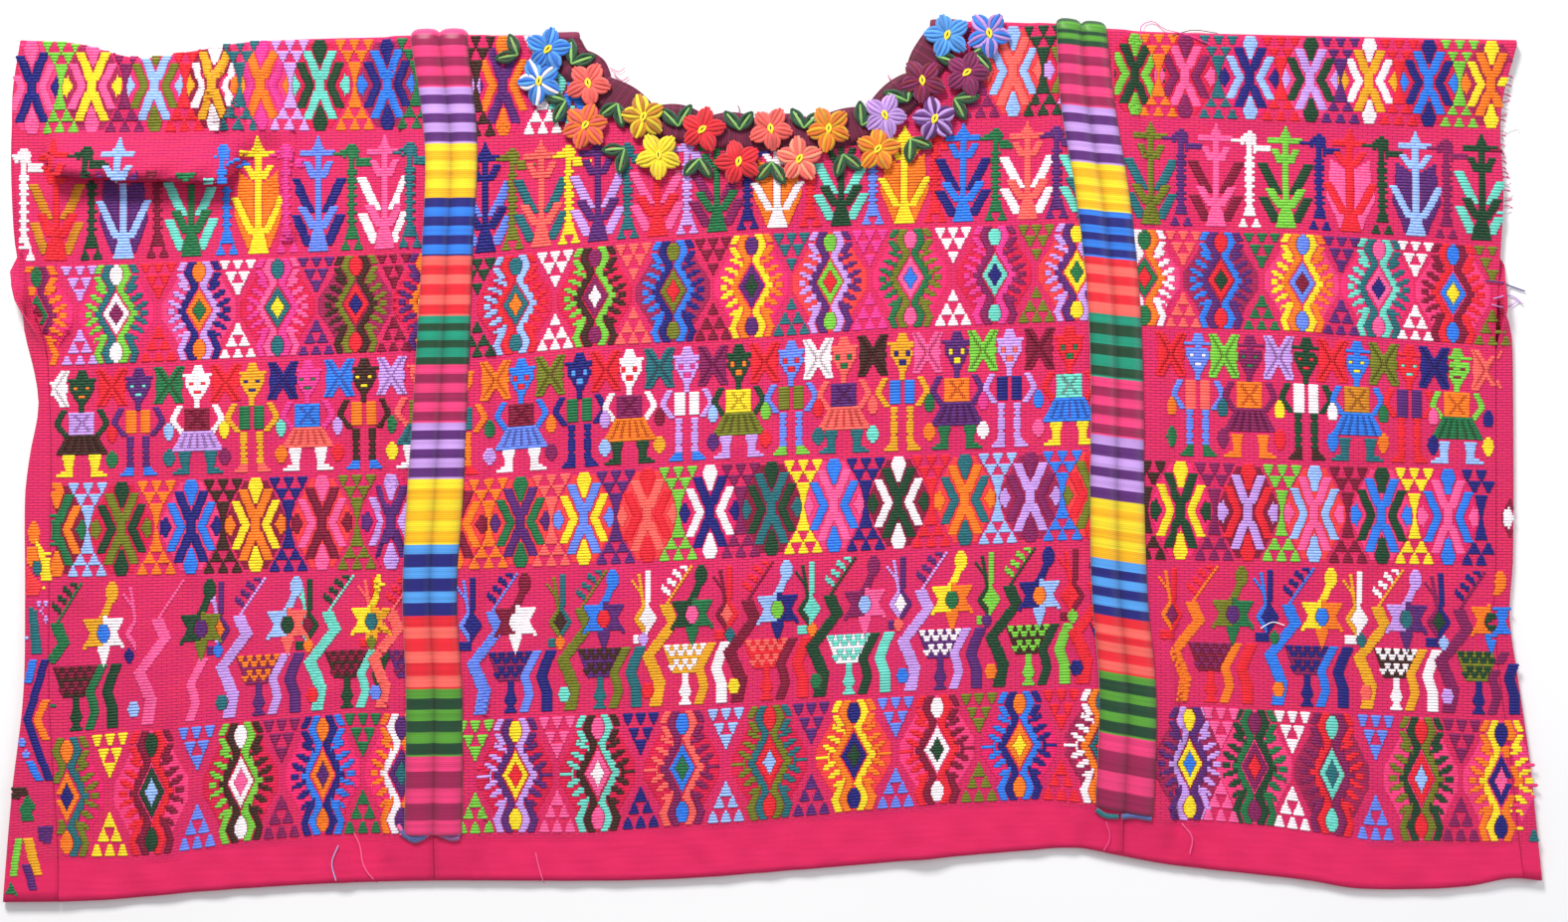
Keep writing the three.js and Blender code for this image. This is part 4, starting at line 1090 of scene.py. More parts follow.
# each band of each length, from the shoulder down: figure, x on the picture, its dyes
brocadePlan = {
    "left": [
        """cross 30 navy pink, cross 92 yellow pink, cross 155 paleBlue olive, cross 215 gold white,
        cross 262 orange magenta, cross 320 mint darkGreen, cross 388 blue navy, glass 60 lightGreen,
        glass 125 plum, glass 185 red, glass 240 teal, glass 290 lilac, glass 355 orange, glass 418 green""",
        """bird 22 white, tree 55 red ochre, bird 90 darkGreen, fullTree 122 paleBlue purple,
        tree 190 green mint, bird 226 blue, fullTree 258 yellow orange, bird 287 magenta,
        tree 318 periwinkle navy, bird 352 green, tree 385 pink white, bird 412 teal, bird 156 maroon""",
        """diamond 35 orange plum green maroon, diamond 115 teal lightGreen white plum,
        diamond 198 navy lilac orange green, diamond 277 pink magenta teal yellow,
        diamond 356 olive brown red navy, diamond 432 orange purple yellow red, stack 78 lilac,
        stack 157 red, stack 237 white, stack 316 purple, stack 395 maroon""",
        """woman 80 darkGreen lilac brown yellow orange, man 137 purple orange blue mint,
        woman 197 white maroon lilac teal red, man 252 gold green coral navy,
        woman 308 magenta blue coral white green, man 365 brown orange blue yellow, basket 52 white,
        basket 110 red, basket 168 green, basket 225 red, basket 283 navy, basket 340 blue,
        basket 393 lilac, drops 110 red green, drops 168 paleBlue teal, drops 224 yellow plum,
        drops 281 mint orange, drops 338 lilac red, drops 394 green yellow,
        woman 424 coral olive teal white""",
        """cross 55 green orange, cross 120 olive darkGreen, cross 190 navy blue, cross 255 orange yellow,
        cross 322 maroon pink, cross 393 purple lilac, glass 86 paleBlue, glass 155 orange,
        glass 222 brown, glass 288 navy, glass 357 olive""",
        """deer 74 green darkGreen brown maroon, deer 176 pink ground ground ground,
        deer 258 lilac purple plum orange, deer 347 mint darkGreen brown maroon,
        deer 412 coral red purple plum, star 102 gold white blue, star 200 darkGreen olive purple,
        star 287 paleBlue coral darkGreen, star 372 yellow gold teal, dots 128 navy paleBlue,
        dots 217 blue teal, dots 308 orange red, dots 372 olive periwinkle""",
        """diamond 65 olive teal orange navy, diamond 150 maroon red darkGreen paleBlue,
        diamond 240 brown lightGreen white pink, diamond 323 blue navy orange purple,
        diamond 403 white orange purple teal, stack 108 yellow, stack 196 periwinkle, stack 281 plum,
        stack 363 green""",
    ],
    "centre": [
        """cross 505 purple orange, cross 452 lilac navy, glass 478 brown, glass 545 white,
        cross 575 blue mint, cross 1018 coral paleBlue, glass 1048 darkGreen, glass 985 plum,
        cross 1080 lilac olive""",
        """tree 487 navy periwinkle, bird 514 olive, tree 543 coral teal, bird 571 yellow,
        tree 600 purple lilac, bird 630 teal, tree 660 red pink, bird 690 lilac, tree 720 green plum,
        bird 751 navy, fullTree 781 white orange, bird 814 red, tree 845 darkGreen mint,
        bird 877 periwinkle, fullTree 909 yellow orange, bird 940 red, tree 968 blue navy,
        bird 1001 green, tree 1033 coral white, bird 1062 purple, tree 1092 teal mint, bird 458 maroon""",
        """diamond 517 red paleBlue teal orange, diamond 597 brown lightGreen plum white,
        diamond 676 navy blue olive red, diamond 755 orange yellow purple darkGreen,
        diamond 834 purple lilac lightGreen red, diamond 915 olive green pink blue,
        diamond 1000 plum magenta mint navy, diamond 1082 purple lilac yellow green, stack 479 darkGreen,
        stack 557 white, stack 636 coral, stack 716 maroon, stack 795 teal, stack 874 magenta,
        stack 958 white, stack 1042 olive""",
        """woman 523 blue maroon periwinkle white red, man 582 navy green navy skyBlue,
        woman 632 white plum orange darkGreen red, man 690 lilac white blue magenta,
        woman 742 darkGreen yellow olive lilac orange, man 795 periwinkle olive lightGreen red,
        woman 848 coral purple coral teal green, man 907 gold blue gold navy,
        woman 962 purple orange purple green yellow, man 1015 lilac navy lilac coral,
        woman 1075 red mint blue yellow green, basket 497 orange, basket 552 olive, basket 608 red,
        basket 662 teal, basket 716 plum, basket 768 red, basket 822 white, basket 877 brown,
        basket 932 pink, basket 988 lightGreen, basket 1045 maroon, drops 491 green lilac,
        drops 553 orange plum, drops 607 lilac paleBlue, drops 662 maroon gold, drops 716 paleBlue purple,
        drops 769 lightGreen red, drops 822 red teal, drops 877 coral mint, drops 934 green orange,
        drops 988 magenta white, drops 1044 blue pink, man 462 orange teal red green""",
        """cross 522 purple green, cross 586 periwinkle yellow, cross 650 coral red, cross 713 navy white,
        cross 775 teal darkGreen, cross 838 pink blue, cross 903 darkGreen white, cross 970 orange teal,
        cross 1036 lilac plum, cross 1098 olive red, glass 490 orange, glass 553 coral, glass 618 purple,
        glass 681 lightGreen, glass 744 plum, glass 807 yellow, glass 870 navy, glass 936 red,
        glass 1003 paleBlue, glass 1068 blue, cross 458 maroon orange""",
        """deer 512 periwinkle navy plum navy, deer 602 olive teal purple brown,
        deer 688 gold white gold white, deer 770 maroon red red coral, deer 853 darkGreen mint white mint,
        deer 945 lilac purple purple white, deer 1034 darkGreen lightGreen brown lightGreen,
        deer 1118 red maroon navy red, dots 562 orange mint, dots 646 lilac red, dots 733 teal yellow,
        dots 816 orange green, dots 903 coral blue, dots 992 purple orange, dots 1078 lightGreen navy,
        star 517 maroon white white, star 606 blue purple red, star 695 darkGreen green pink,
        star 781 paleBlue navy lightGreen, star 869 plum pink paleBlue, star 957 yellow orange green,
        star 1045 navy paleBlue orange""",
        """diamond 517 purple lilac yellow red, diamond 600 brown mint pink white,
        diamond 685 plum coral blue green, diamond 773 teal olive red paleBlue,
        diamond 858 orange yellow navy darkGreen, diamond 942 maroon red white darkGreen,
        diamond 1025 navy blue orange yellow, diamond 1108 orange white teal red, stack 477 lightGreen,
        stack 559 pink, stack 643 navy, stack 729 paleBlue, stack 815 purple, stack 900 periwinkle,
        stack 984 olive, stack 1067 red""",
    ],
    "right": [
        """cross 1141 darkGreen lightGreen, cross 1192 pink plum, cross 1257 navy paleBlue,
        cross 1318 lilac darkGreen, cross 1377 gold white, cross 1437 blue navy, cross 1500 orange yellow,
        glass 1165 orange, glass 1225 teal, glass 1288 red, glass 1348 purple, glass 1407 red,
        glass 1468 lightGreen""",
        """tree 1157 olive teal, bird 1188 purple, tree 1223 pink maroon, bird 1257 white,
        tree 1293 lightGreen darkGreen, bird 1327 navy, fullTree 1358 red pink, bird 1390 darkGreen,
        fullTree 1424 paleBlue purple, bird 1455 plum, tree 1490 darkGreen mint, bird 1518 maroon""",
        """diamond 1150 white orange green red, diamond 1228 purple blue red darkGreen,
        diamond 1310 orange yellow periwinkle maroon, diamond 1387 teal mint pink navy,
        diamond 1462 red maroon blue yellow, stack 1190 coral, stack 1269 green, stack 1349 purple,
        stack 1424 white, stack 1501 olive""",
        """man 1205 periwinkle coral green white, woman 1257 plum orange plum orange green,
        man 1314 darkGreen white brown red, woman 1365 blue ochre blue teal yellow,
        man 1418 red purple red mint, woman 1466 lightGreen orange green paleBlue maroon, basket 1177 red,
        basket 1231 lightGreen, basket 1286 lilac, basket 1340 red, basket 1392 olive, basket 1443 navy,
        basket 1495 coral, drops 1178 orange green, drops 1230 teal plum, drops 1287 yellow red,
        drops 1340 white blue, drops 1391 green orange, drops 1442 pink navy, drops 1497 navy yellow""",
        """cross 1187 darkGreen yellow, cross 1255 lilac red, cross 1322 pink paleBlue,
        cross 1390 blue darkGreen, cross 1457 pink blue, cross 1543 white brown, glass 1152 brown,
        glass 1221 plum, glass 1289 lightGreen, glass 1356 maroon, glass 1423 yellow, glass 1490 navy""",
        """deer 1218 orange red maroon plum, deer 1315 blue navy plum navy,
        deer 1405 gold white brown white, deer 1487 plum navy olive darkGreen, dots 1282 green orange,
        dots 1370 teal coral, dots 1452 paleBlue lilac, star 1240 olive green purple,
        star 1330 yellow orange blue, star 1415 lilac purple teal, star 1500 orange blue darkGreen""",
        """diamond 1196 lilac purple yellow blue, diamond 1262 green darkGreen plum red,
        diamond 1340 red plum mint teal, diamond 1430 darkGreen olive red paleBlue,
        diamond 1510 yellow orange navy pink, stack 1228 pink, stack 1300 white, stack 1384 periwinkle,
        stack 1470 plum, stack 1556 teal""",
    ],
}
brocadePlan["wrap"] = [f"margin 35 {part}" for part in ("one", "two", "three", "four", "five")]


def fillShape(grid, xs, ys, outline, dye):
    outline = np.array(outline, float)
    firstColumn, lastColumn = np.searchsorted(xs, [outline[:, 0].min() - 1, outline[:, 0].max() + 1])
    firstRow, lastRow = np.searchsorted(ys, [outline[:, 1].min() - 0.5, outline[:, 1].max() + 0.5])
    if firstColumn == lastColumn or firstRow == lastRow:
        return
    x = xs[None, firstColumn:lastColumn]
    y = ys[firstRow:lastRow, None]
    inside = np.zeros((lastRow - firstRow, lastColumn - firstColumn), bool)
    for (x1, y1), (x2, y2) in zip(outline, np.roll(outline, -1, axis=0)):
        if y1 == y2:
            continue
        crosses = ((y1 > y) != (y2 > y)) & (x < (x2 - x1) * (y - y1) / (y2 - y1) + x1)
        inside ^= crosses
    region = grid[firstRow:lastRow, firstColumn:lastColumn]
    if dye == "shadow":
        region[inside & (region >= 0)] += shadowCode
    elif dye == "ground":
        region[inside] = -1
    else:
        region[inside] = dyeNames.index(dye)


shadowCode = 100  # added to a dye's number where its figure is striped with painted shadow lines in a darker copy of its dye
patchCode = 200  # added to a dye's number in the low patches behind the figures
patchSpan = 108  # the height that the patches' shapes are drawn to
patchDyes = ["crimson", "magentaRed", "redCoral", "pinkRed", "bandPlum", "crimson", "bandPink", "maroon"]


# a low patch of one red or another behind a figure, wide at its middle or at its ends
def patchShape(kind):
    if kind == "diamond":
        return [(-10, -52), (10, -52), (38, -8), (38, 8), (10, 52), (-10, 52), (-38, 8), (-38, -8)]
    if kind == "cross":
        return [(-12, -47), (12, -47), (32, -6), (32, 6), (12, 47), (-12, 47), (-32, 6), (-32, -6)]
    return None


# the cells of one band: which dye each short stretch of each pick shows
def paintBand(entries, count, px, heightPx):
    grid = np.full((count, len(px)), -1, int)
    for entry in entries.split(","):
        kind, x, *used = entry.split()
        drawFigure, drawnHeight = figures[kind]
        scale = drawnHeight / heightPx or 1.0
        ys = ((np.arange(count) + 0.5) / count - 0.5) * heightPx * scale
        for dye, outline in drawFigure(*used):
            fillShape(grid, px - float(x), ys, outline, dye)
    grid[[0, -1]] = -1
    patches = np.full(grid.shape, -1, int)
    for entry in entries.split(","):
        kind, x = entry.split()[:2]
        if patchShape(kind):
            ys = ((np.arange(count) + 0.5) / count - 0.5) * patchSpan
            fillShape(patches, px - float(x), ys, patchShape(kind), patchDyes[int(float(x)) % len(patchDyes)])
    return np.where((grid < 0) & (patches >= 0), patches + patchCode, grid)


# cuts one stretch of a dye into floats whose ends are staggered from pick to pick
def cutStretch(start, end, pick, longest, random):
    length = end - start
    if length <= longest:
        return [(start, end)]
    step = longest * 0.8
    offset = step * (0.2 + 0.45 * (pick % 2)) + random.uniform(-0.6, 0.6)
    cuts = [start, *np.arange(start + offset, end - 1.2, step), end]
    over = brocade["overlap"]
    pairs = [(a, b) for a, b in zip(cuts, cuts[1:]) if b - a > 0.5]
    return [(a - over * (a > start), b + over * (b < end)) for a, b in pairs]


def planFloats(side, fromX, toX, bands, random):
    cell = 1.0  # on the picture
    px = np.arange(fromX, toX, cell)
    longest = brocade["longest"] / plan["scale"]
    lines = [lineY(line, px) for line in bandLines[side]]
    floats = []
    pick = 0
    counts = pickCounts(side)
    for band in bands:
        entries, count, high, low = brocadePlan[side][band], counts[band], lines[band], lines[band + 1]
        grid = paintBand(entries, count, px, float(np.mean(low - high)))
        for row in range(count):
            pick += 1
            share = (row + 0.5) / count
            cells = grid[row]
            changes = np.flatnonzero(np.diff(cells)) + 1
            for start, end in zip([0, *changes], [*changes, len(cells)]):
                code = cells[start]
                if code < 0:
                    continue
                reach = longest if code < patchCode else brocade["patchLongest"] / plan["scale"]
                for a, b in cutStretch(px[start], px[start] + (end - start) * cell, pick, reach, random):
                    ends = np.array([a, b])
                    y = mix(np.interp(ends, px, high), np.interp(ends, px, low), share)
                    floats.append((a, y[0], b, y[1], code))
    return floats


# Geometry Nodes: one tree lays thread floats, the other turns drawn lines into yarn
def startTree(name, inputs):
    tree = bpy.data.node_groups.new(name, "GeometryNodeTree")
    tree.interface.new_socket("Geometry", in_out="INPUT", socket_type="NodeSocketGeometry")
    for label, kind, value in inputs:
        socket = tree.interface.new_socket(label, in_out="INPUT", socket_type=kind)
        if value is not None:
            socket.default_value = value
    tree.interface.new_socket("Geometry", in_out="OUTPUT", socket_type="NodeSocketGeometry")
    return tree, tree.nodes.new("NodeGroupInput"), tree.nodes.new("NodeGroupOutput")


def namedAttribute(tree, name, kind):
    node = tree.nodes.new("GeometryNodeInputNamedAttribute")
    node.data_type = kind
    node.inputs["Name"].default_value = name
    return node.outputs["Attribute"]


def finishTree(tree, inside, outside, made):
    realized = tree.nodes.new("GeometryNodeRealizeInstances")
    coated = tree.nodes.new("GeometryNodeSetMaterial")
    tree.links.new(made, realized.inputs["Geometry"])
    tree.links.new(realized.outputs["Geometry"], coated.inputs["Geometry"])
    tree.links.new(inside.outputs["Material"], coated.inputs["Material"])
    tree.links.new(coated.outputs["Geometry"], outside.inputs["Geometry"])
    return tree


def makeFloatTree():
    tree, inside, outside = startTree("layFloats", [
        ("Float", "NodeSocketObject", None), ("Material", "NodeSocketMaterial", None),
        ("Fullness", "NodeSocketFloat", 1.0),
    ])
    form = tree.nodes.new("GeometryNodeObjectInfo")
    tree.links.new(inside.outputs["Float"], form.inputs["Object"])
    turned = tree.nodes.new("FunctionNodeEulerToRotation")
    tree.links.new(namedAttribute(tree, "aim", "FLOAT_VECTOR"), turned.inputs[0])
    sized = tree.nodes.new("ShaderNodeVectorMath")
    sized.operation = "SCALE"
    tree.links.new(namedAttribute(tree, "size", "FLOAT_VECTOR"), sized.inputs[0])
    tree.links.new(inside.outputs["Fullness"], sized.inputs["Scale"])
    laid = tree.nodes.new("GeometryNodeInstanceOnPoints")
    tree.links.new(inside.outputs["Geometry"], laid.inputs["Points"])
    tree.links.new(form.outputs["Geometry"], laid.inputs["Instance"])
    tree.links.new(turned.outputs[0], laid.inputs["Rotation"])
    tree.links.new(sized.outputs[0], laid.inputs["Scale"])
    return finishTree(tree, inside, outside, laid.outputs["Instances"])


def makeYarnTree():
    tree, inside, outside = startTree("twistYarn", [
        ("Sides", "NodeSocketInt", 6), ("Thickness", "NodeSocketFloat", 1.0),
        ("Material", "NodeSocketMaterial", None),
    ])
    lines = tree.nodes.new("GeometryNodeMeshToCurve")
    tree.links.new(inside.outputs["Geometry"], lines.inputs["Mesh"])
    profile = tree.nodes.new("GeometryNodeCurvePrimitiveCircle")
    profile.inputs["Radius"].default_value = 1.0
    tree.links.new(inside.outputs["Sides"], profile.inputs["Resolution"])
    swept = tree.nodes.new("GeometryNodeCurveToMesh")
    thick = tree.nodes.new("ShaderNodeMath")
    thick.operation = "MULTIPLY"
    tree.links.new(namedAttribute(tree, "thick", "FLOAT"), thick.inputs[0])
    tree.links.new(inside.outputs["Thickness"], thick.inputs[1])
    tree.links.new(lines.outputs["Curve"], swept.inputs["Curve"])
    tree.links.new(profile.outputs["Curve"], swept.inputs["Profile Curve"])
    tree.links.new(thick.outputs[0], swept.inputs["Scale"])
    swept.inputs["Fill Caps"].default_value = True
    return finishTree(tree, inside, outside, swept.outputs["Mesh"])


floatTree, yarnTree = makeFloatTree(), makeYarnTree()


def growNodes(target, tree, values, drop=()):
    modifier = target.modifiers.new(tree.name, "NODES")
    modifier.node_group = tree
    for label, value in values.items():
        modifier[tree.interface.items_tree[label].identifier] = value
    bakeModifiers(target)
    for name in drop:
        if name in target.data.attributes:
            target.data.attributes.remove(target.data.attributes[name])
    target.data.shade_smooth()


# one float of thread, a unit long and wide: flat below, rounded above, dipping at both ends
def makeFloatForm():
    section = [(-0.5, 0.0), (-0.24, 0.9), (0.24, 0.9), (0.5, 0.0)]
    points = [(-0.52, 0, 0.05)]
    points += [(x, y, z) for x in (-0.4, 0.4) for y, z in section]
    points.append((0.52, 0, 0.05))
    faces = [(0, 1 + i, 1 + (i + 1) % 4) for i in range(4)]
    faces += [(1 + i, 5 + i, 5 + (i + 1) % 4, 1 + (i + 1) % 4) for i in range(4)]
    faces += [(9, 5 + (i + 1) % 4, 5 + i) for i in range(4)]
    form = newObject("floatForm", points, faces)
    turnOutwards(form)
    return form


floatForm = makeFloatForm()
brocadeMaterial = threadMaterial("brocadeThread", 0.6, 0.06)


# where a set of floats lies on a cloth, seen straight from above
def settleFloats(panel, floats, keep):
    depsgraph = bpy.context.evaluated_depsgraph_get()
    surface = BVHTree.FromObject(panel, depsgraph)
    down = Vector((0, 0, -1))
    points, aims, sizes, shades = [], [], [], []
    tones = random.Random(brocade["seed"])
    for x1, y1, x2, y2, code in floats:
        ends = [toFrame([float(planX(x)), float(planY(y)), 100.0]) for x, y in ((x1, y1), (x2, y2))]
        middle = (ends[0] + ends[1]) / 2
        if not keep(middle[0] / millimetre, middle[1] / millimetre - planShift):
            continue
        hit, normal, _, _ = surface.ray_cast(Vector(middle), down)
        if hit is None:
            continue
        heights = []
        for end in ends:
            side = surface.ray_cast(Vector(end), down)[0]
            level = side is not None and abs(side.z - hit.z) < brocade["step"] * millimetre
            heights.append(side.z if level else hit.z)
        along = Vector((ends[1][0] - ends[0][0], ends[1][1] - ends[0][1], heights[1] - heights[0]))
        length = along.length
        along.normalize()
        across = normal.cross(along).normalized()
        upward = along.cross(across)
        turn = Matrix((along, across, upward)).transposed().to_euler("XYZ")
        sink = brocade["sink"] * millimetre
        points.append(hit - upward * sink)
        aims.append(tuple(turn))
        high = brocade["patchHeight"]
        if code < patchCode:
            high = brocade["height"] * tones.uniform(*brocade["heights"])
        sizes.append((length, brocade["width"] * millimetre, high * millimetre))
        # painted shadow lines: the figure's dye is darkened where its shadow stripes are drawn
        darker = brocade["shadowLineTone"] if shadowCode <= code < patchCode else 1.0
        dye = dyeLinear[dyeNames[code % shadowCode]] * darker
        shades.append(dye * tones.uniform(*brocade["tones"]))
    return points, aims, sizes, shades


def layFloats(name, panel, floats, keep):
    points, aims, sizes, shades = settleFloats(panel, floats, keep)
    laid = newObject(name, points, [], smooth=False)
    for label, values in (("aim", aims), ("size", sizes)):
        layer = laid.data.attributes.new(label, "FLOAT_VECTOR", "POINT")
        layer.data.foreach_set("vector", np.array(values, np.float32).ravel())
    setColours(laid.data, shades)
    inputs = {"Float": floatForm, "Material": brocadeMaterial, "Fullness": 1.0}
    growNodes(laid, floatTree, inputs, ("aim", "size"))
    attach(laid, "root")
    triangles = sum(len(polygon.vertices) - 2 for polygon in laid.data.polygons)
    print(name, len(points), "floats", triangles, "triangles")
    return laid


def onFront(x, y):
    row = float(rowOf(x, y))
    beside = min(abs(x - float(seam["at"](y))) - float(seam["width"](y)) / 2 for seam in seams)
    if (planX(hiddenByBuckle["left"]) < x < planX(hiddenByBuckle["right"])
            and planY(hiddenByBuckle["bottom"]) < y < planY(hiddenByBuckle["top"])):
        return False
    within = frontEdges[-1](y) + brocade["clear"] < x < frontEdges[1](y) - brocade["clear"]
    return beside > -brocade["underBand"] and within and row > brocade["hemClear"]


def onWrap(x, y):
    within = outerEdges[-1](y) + brocade["clear"] < x < frontEdges[-1](y) - brocade["clear"]
    return within and y > brocade["lowest"]


def onRightWrap(x, y):
    within = frontEdges[1](y) + 1.0 < x < outerEdges[1](y) - brocade["clear"]
    return within and brocade["lowest"] < y < brocade["rightWrapTop"]


randomCuts = random.Random(brocade["seed"])
# name, length, x on the picture from and to, and its bands
floatPlans = [
    ("leftBrocade", "left", 10, 450, range(7)), ("upperBrocade", "centre", 440, 1140, range(4)),
    ("lowerBrocade", "centre", 440, 1140, range(4, 7)), ("rightBrocade", "right", 1120, 1545, range(7)),
]
onPanel = {"left": [], "centre": [], "right": []}
for name, side, fromX, toX, bands in floatPlans:
    planned = planFloats(side, fromX, toX, bands, randomCuts)
    onPanel[side].append(layFloats(name, panels[side], planned, onFront))
marginFloats = planFloats("wrap", 0, 60, range(5), randomCuts)
onPanel["left"].append(layFloats("marginBrocade", panels["left"], marginFloats, onWrap))
edgeFloats = planFloats("right", 1496, 1560, range(2, 7), randomCuts)
onPanel["right"].append(layFloats("edgeBrocade", panels["right"], edgeFloats, onRightWrap))
bpy.data.objects.remove(floatForm)
print("brocade laid")


# the joining bands: satin stitch in two rolls, in groups of thin stripes
randa = {
    "pitch": 1.05, "threadRelief": 0.28, "rollPoints": 11, "backStep": 7, "stripes": 6,
    "groove": 0.258, "roll": 0.25, "endThreads": 5, "foldShift": 12, "tones": (0.86, 1.1), "valleyShade": 0.74,
}
# y on the picture where each group of stripes ends, and its two dyes
randaGroups = {
    "left": """88 bandPink bandPlum, 145 lilac purple, 200 yellow amber, 258 navy blue, 318 coral red,
    368 tealGreen darkGreen, 425 bandPink bandPlum, 482 lilac purple, 547 yellow amber, 620 skyBlue navy,
    692 red coral, 760 leafGreen darkGreen, 860 bandPink bandPlum""",
    "right": """48 leafGreen darkGreen, 108 bandPink bandPlum, 165 lilac purple, 213 yellow amber,
    260 blue navy, 318 red coral, 382 tealGreen darkGreen, 440 bandPink bandPlum, 505 lilac purple,
    565 yellow amber, 622 skyBlue navy, 678 red coral, 740 leafGreen darkGreen, 860 bandPink bandPlum""",
}
firstGroupStart = {"left": 30, "right": 18}


def stripeDye(side, y, back):
    groups = [entry.split() for entry in randaGroups[side].split(",")]
    ends = [float(group[0]) for group in groups]
    py = plan["middleY"] - y / plan["scale"]
    i = min(int(np.searchsorted(ends, py, side="right")), len(groups) - 1)
    start = ends[i - 1] if i else firstGroupStart[side]
    share = max(0.0, (py - start) / (ends[i] - start))
    if back:
        i = (i + 5) % len(groups)
    return groups[i][1 + int(share * randa["stripes"] + 0.12) % 2]


# across the band and height of the two rolls' round section, left to right, then the flat underside
def randaSection(width, pressed, relief):
    points = []
    inner, outer, count = randa["groove"] * width, randa["roll"] * width, randa["rollPoints"]
    for side in (-1, 1):
        for t in np.linspace(math.pi, 0, count):
            across = math.cos(t)
            reach = inner if across * side < 0 else outer
            if across * side < 0 and abs(across) > outer / inner:
                continue
            height = joiningBand["height"] * math.sqrt(max(0.0, 1 - across**2))
            x = side * randa["roll"] * width + across * reach
            lift = relief * (0.3 + 0.7 * height / joiningBand["height"])
            points.append((x, max(0.0, mix(height, min(height, joiningBand["pressed"]), pressed) - lift)))
    return points + [(0.3 * width, 0.0), (-0.3 * width, 0.0)]


def randaStations(side):
    seam = seams[0] if side == "left" else seams[1]
    topRow, lowRow = 1.0, cloth["hemBand"]
    middle = float(seam["at"](0.0))
    length = float(flatTopAt(middle) - rowY(middle, lowRow))
    threads = int(length / randa["pitch"])
    stations = [("front", row, i % 2) for i, row in enumerate(np.linspace(lowRow, topRow, 2 * threads))]
    arc = [("fold", turn, i % 2) for i, turn in enumerate(np.linspace(0, 1, 22)[1:-1])]
    back = [("back", row, 0) for row in np.linspace(topRow, lowRow, int(length / randa["backStep"]))]
    return seam, stations + arc + back


def makeRanda(side, material):
    seam, stations = randaStations(side)
    sections, shades = [], []
    tones = random.Random(3)
    ends = len(stations)
    dye, tone = None, 1.0
    for i, (layer, place, valley) in enumerate(stations):
        row = 1.0 if layer == "fold" else place
        point = {"front": frontPoint, "fold": foldPoint, "back": backPoint}[layer]
        x, y, _ = seamRow(seam, row)
        width = float(seam["width"](y))
        ending = min(i, ends - 1 - i)
        closing = 1.0
        if layer == "front":
            closing = math.sqrt(1 - max(0.0, 1 - (ending + 0.3) / randa["endThreads"]) ** 2)
        pressed = {"front": 0, "fold": 0.5, "back": 1}[layer]
        section = randaSection(width * (0.9 + 0.1 * closing), pressed, randa["threadRelief"] * valley)
        across, height = np.array(section).T
        sections.append(point(float(x) + across, place, cloth["seamGap"] + height * closing))
        turnedY = float(y) + (place * randa["foldShift"] if layer == "fold" else 0)
        if not valley:
            dye = dyeLinear[stripeDye(side, turnedY, layer == "back")]
            tone = tones.uniform(*randa["tones"])
        # painted shade: each stitch is darker where its section is low, in the groove between the rolls and
        # at the band's edges, and the valley threads between stitches are darker still
        grooveAndEdgeShade = 0.3 + 0.76 * np.clip(height / joiningBand["height"], 0, 1) ** 0.6
        shades += list(dye * tone * (randa["valleyShade"] if valley else 1.0) * grooveAndEdgeShade[:, None])
    size = len(sections[0])
    points = toFrame(np.array(sections).reshape(-1, 3))
    faces = []
    for i in range(len(sections) - 1):
        a, b = i * size, (i + 1) * size
        faces += [(a + j, a + (j + 1) % size, b + (j + 1) % size, b + j) for j in range(size)]
    faces += [tuple(range(size)), tuple(range((len(sections) - 1) * size, len(sections) * size))[::-1]]
    made = newObject(f"{side}Randa", points, faces)
    turnOutwards(made)
    setColours(made.data, shades)
    made.data.materials.append(material)
    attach(made, "root")
    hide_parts(f"{side}_randa")
    print(made.name, len(made.data.polygons), "faces")
    return made


satinMaterial = threadMaterial("satinThread", 0.42, 0.25, grain=1400.0, unevenness=0.22, depth=0.00012)
randas = {}
for side in ("left", "right"):
    randas[side] = makeRanda(side, satinMaterial)


# yarn drawn as lines: each is a list of points, its thickness along them and its dye
def layYarn(name, lines, material, sides=6, replaced=()):
    points, edges, thick, shades = [], [], [], []
    for line, radii, dye in lines:
        first = len(points)
        points += list(line)
        edges += [(first + i, first + i + 1) for i in range(len(line) - 1)]
        thick += list(radii)
        shades += [dye] * len(line)
    mesh = bpy.data.meshes.new(name)
    mesh.from_pydata([tuple(p) for p in toFrame(np.array(points))], edges, [])
    made = bpy.data.objects.new(name, mesh)
    bpy.context.scene.collection.objects.link(made)
    layer = mesh.attributes.new("thick", "FLOAT", "POINT")
    layer.data.foreach_set("value", np.array(thick, np.float32) * millimetre)
    setColours(mesh, shades)
    growNodes(made, yarnTree, {"Sides": sides, "Material": material, "Thickness": 1.0}, ("thick",))
    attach(made, "root")
    if replaced:
        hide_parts(*replaced)
    return made


# the neck band: burgundy blanket stitch over a scalloped edge
neckTrim = {
    "pitch": 1.5, "relief": 0.42, "lobe": 1.45, "backSteps": 72, "foldSteps": 8, "tones": (0.62, 1.35),
    "valleyShade": 0.42, "plumShare": 0.3, "plumEvery": 5,
}


def neckSection(place, outward, lobe, point, valley):
    scallop = neck["scallopDepth"] * neckTrim["lobe"] * lobe**0.7
    reach = np.array([-scallop, 1.5 - 0.6 * scallop, neck["inset"] + 1, 9, 12.5, neck["width"]])
    top = neck["thickness"] * np.array([0.75, 1.1, 1.1, 1.1, 1.1, 0.75]) - neckTrim["relief"] * valley
    x, y = (place[:, None] + outward[:, None] * np.concatenate([reach, reach[::-1]]))
    return point(x, y, cloth["seamGap"] + np.concatenate([np.zeros(len(reach)), top[::-1]]))


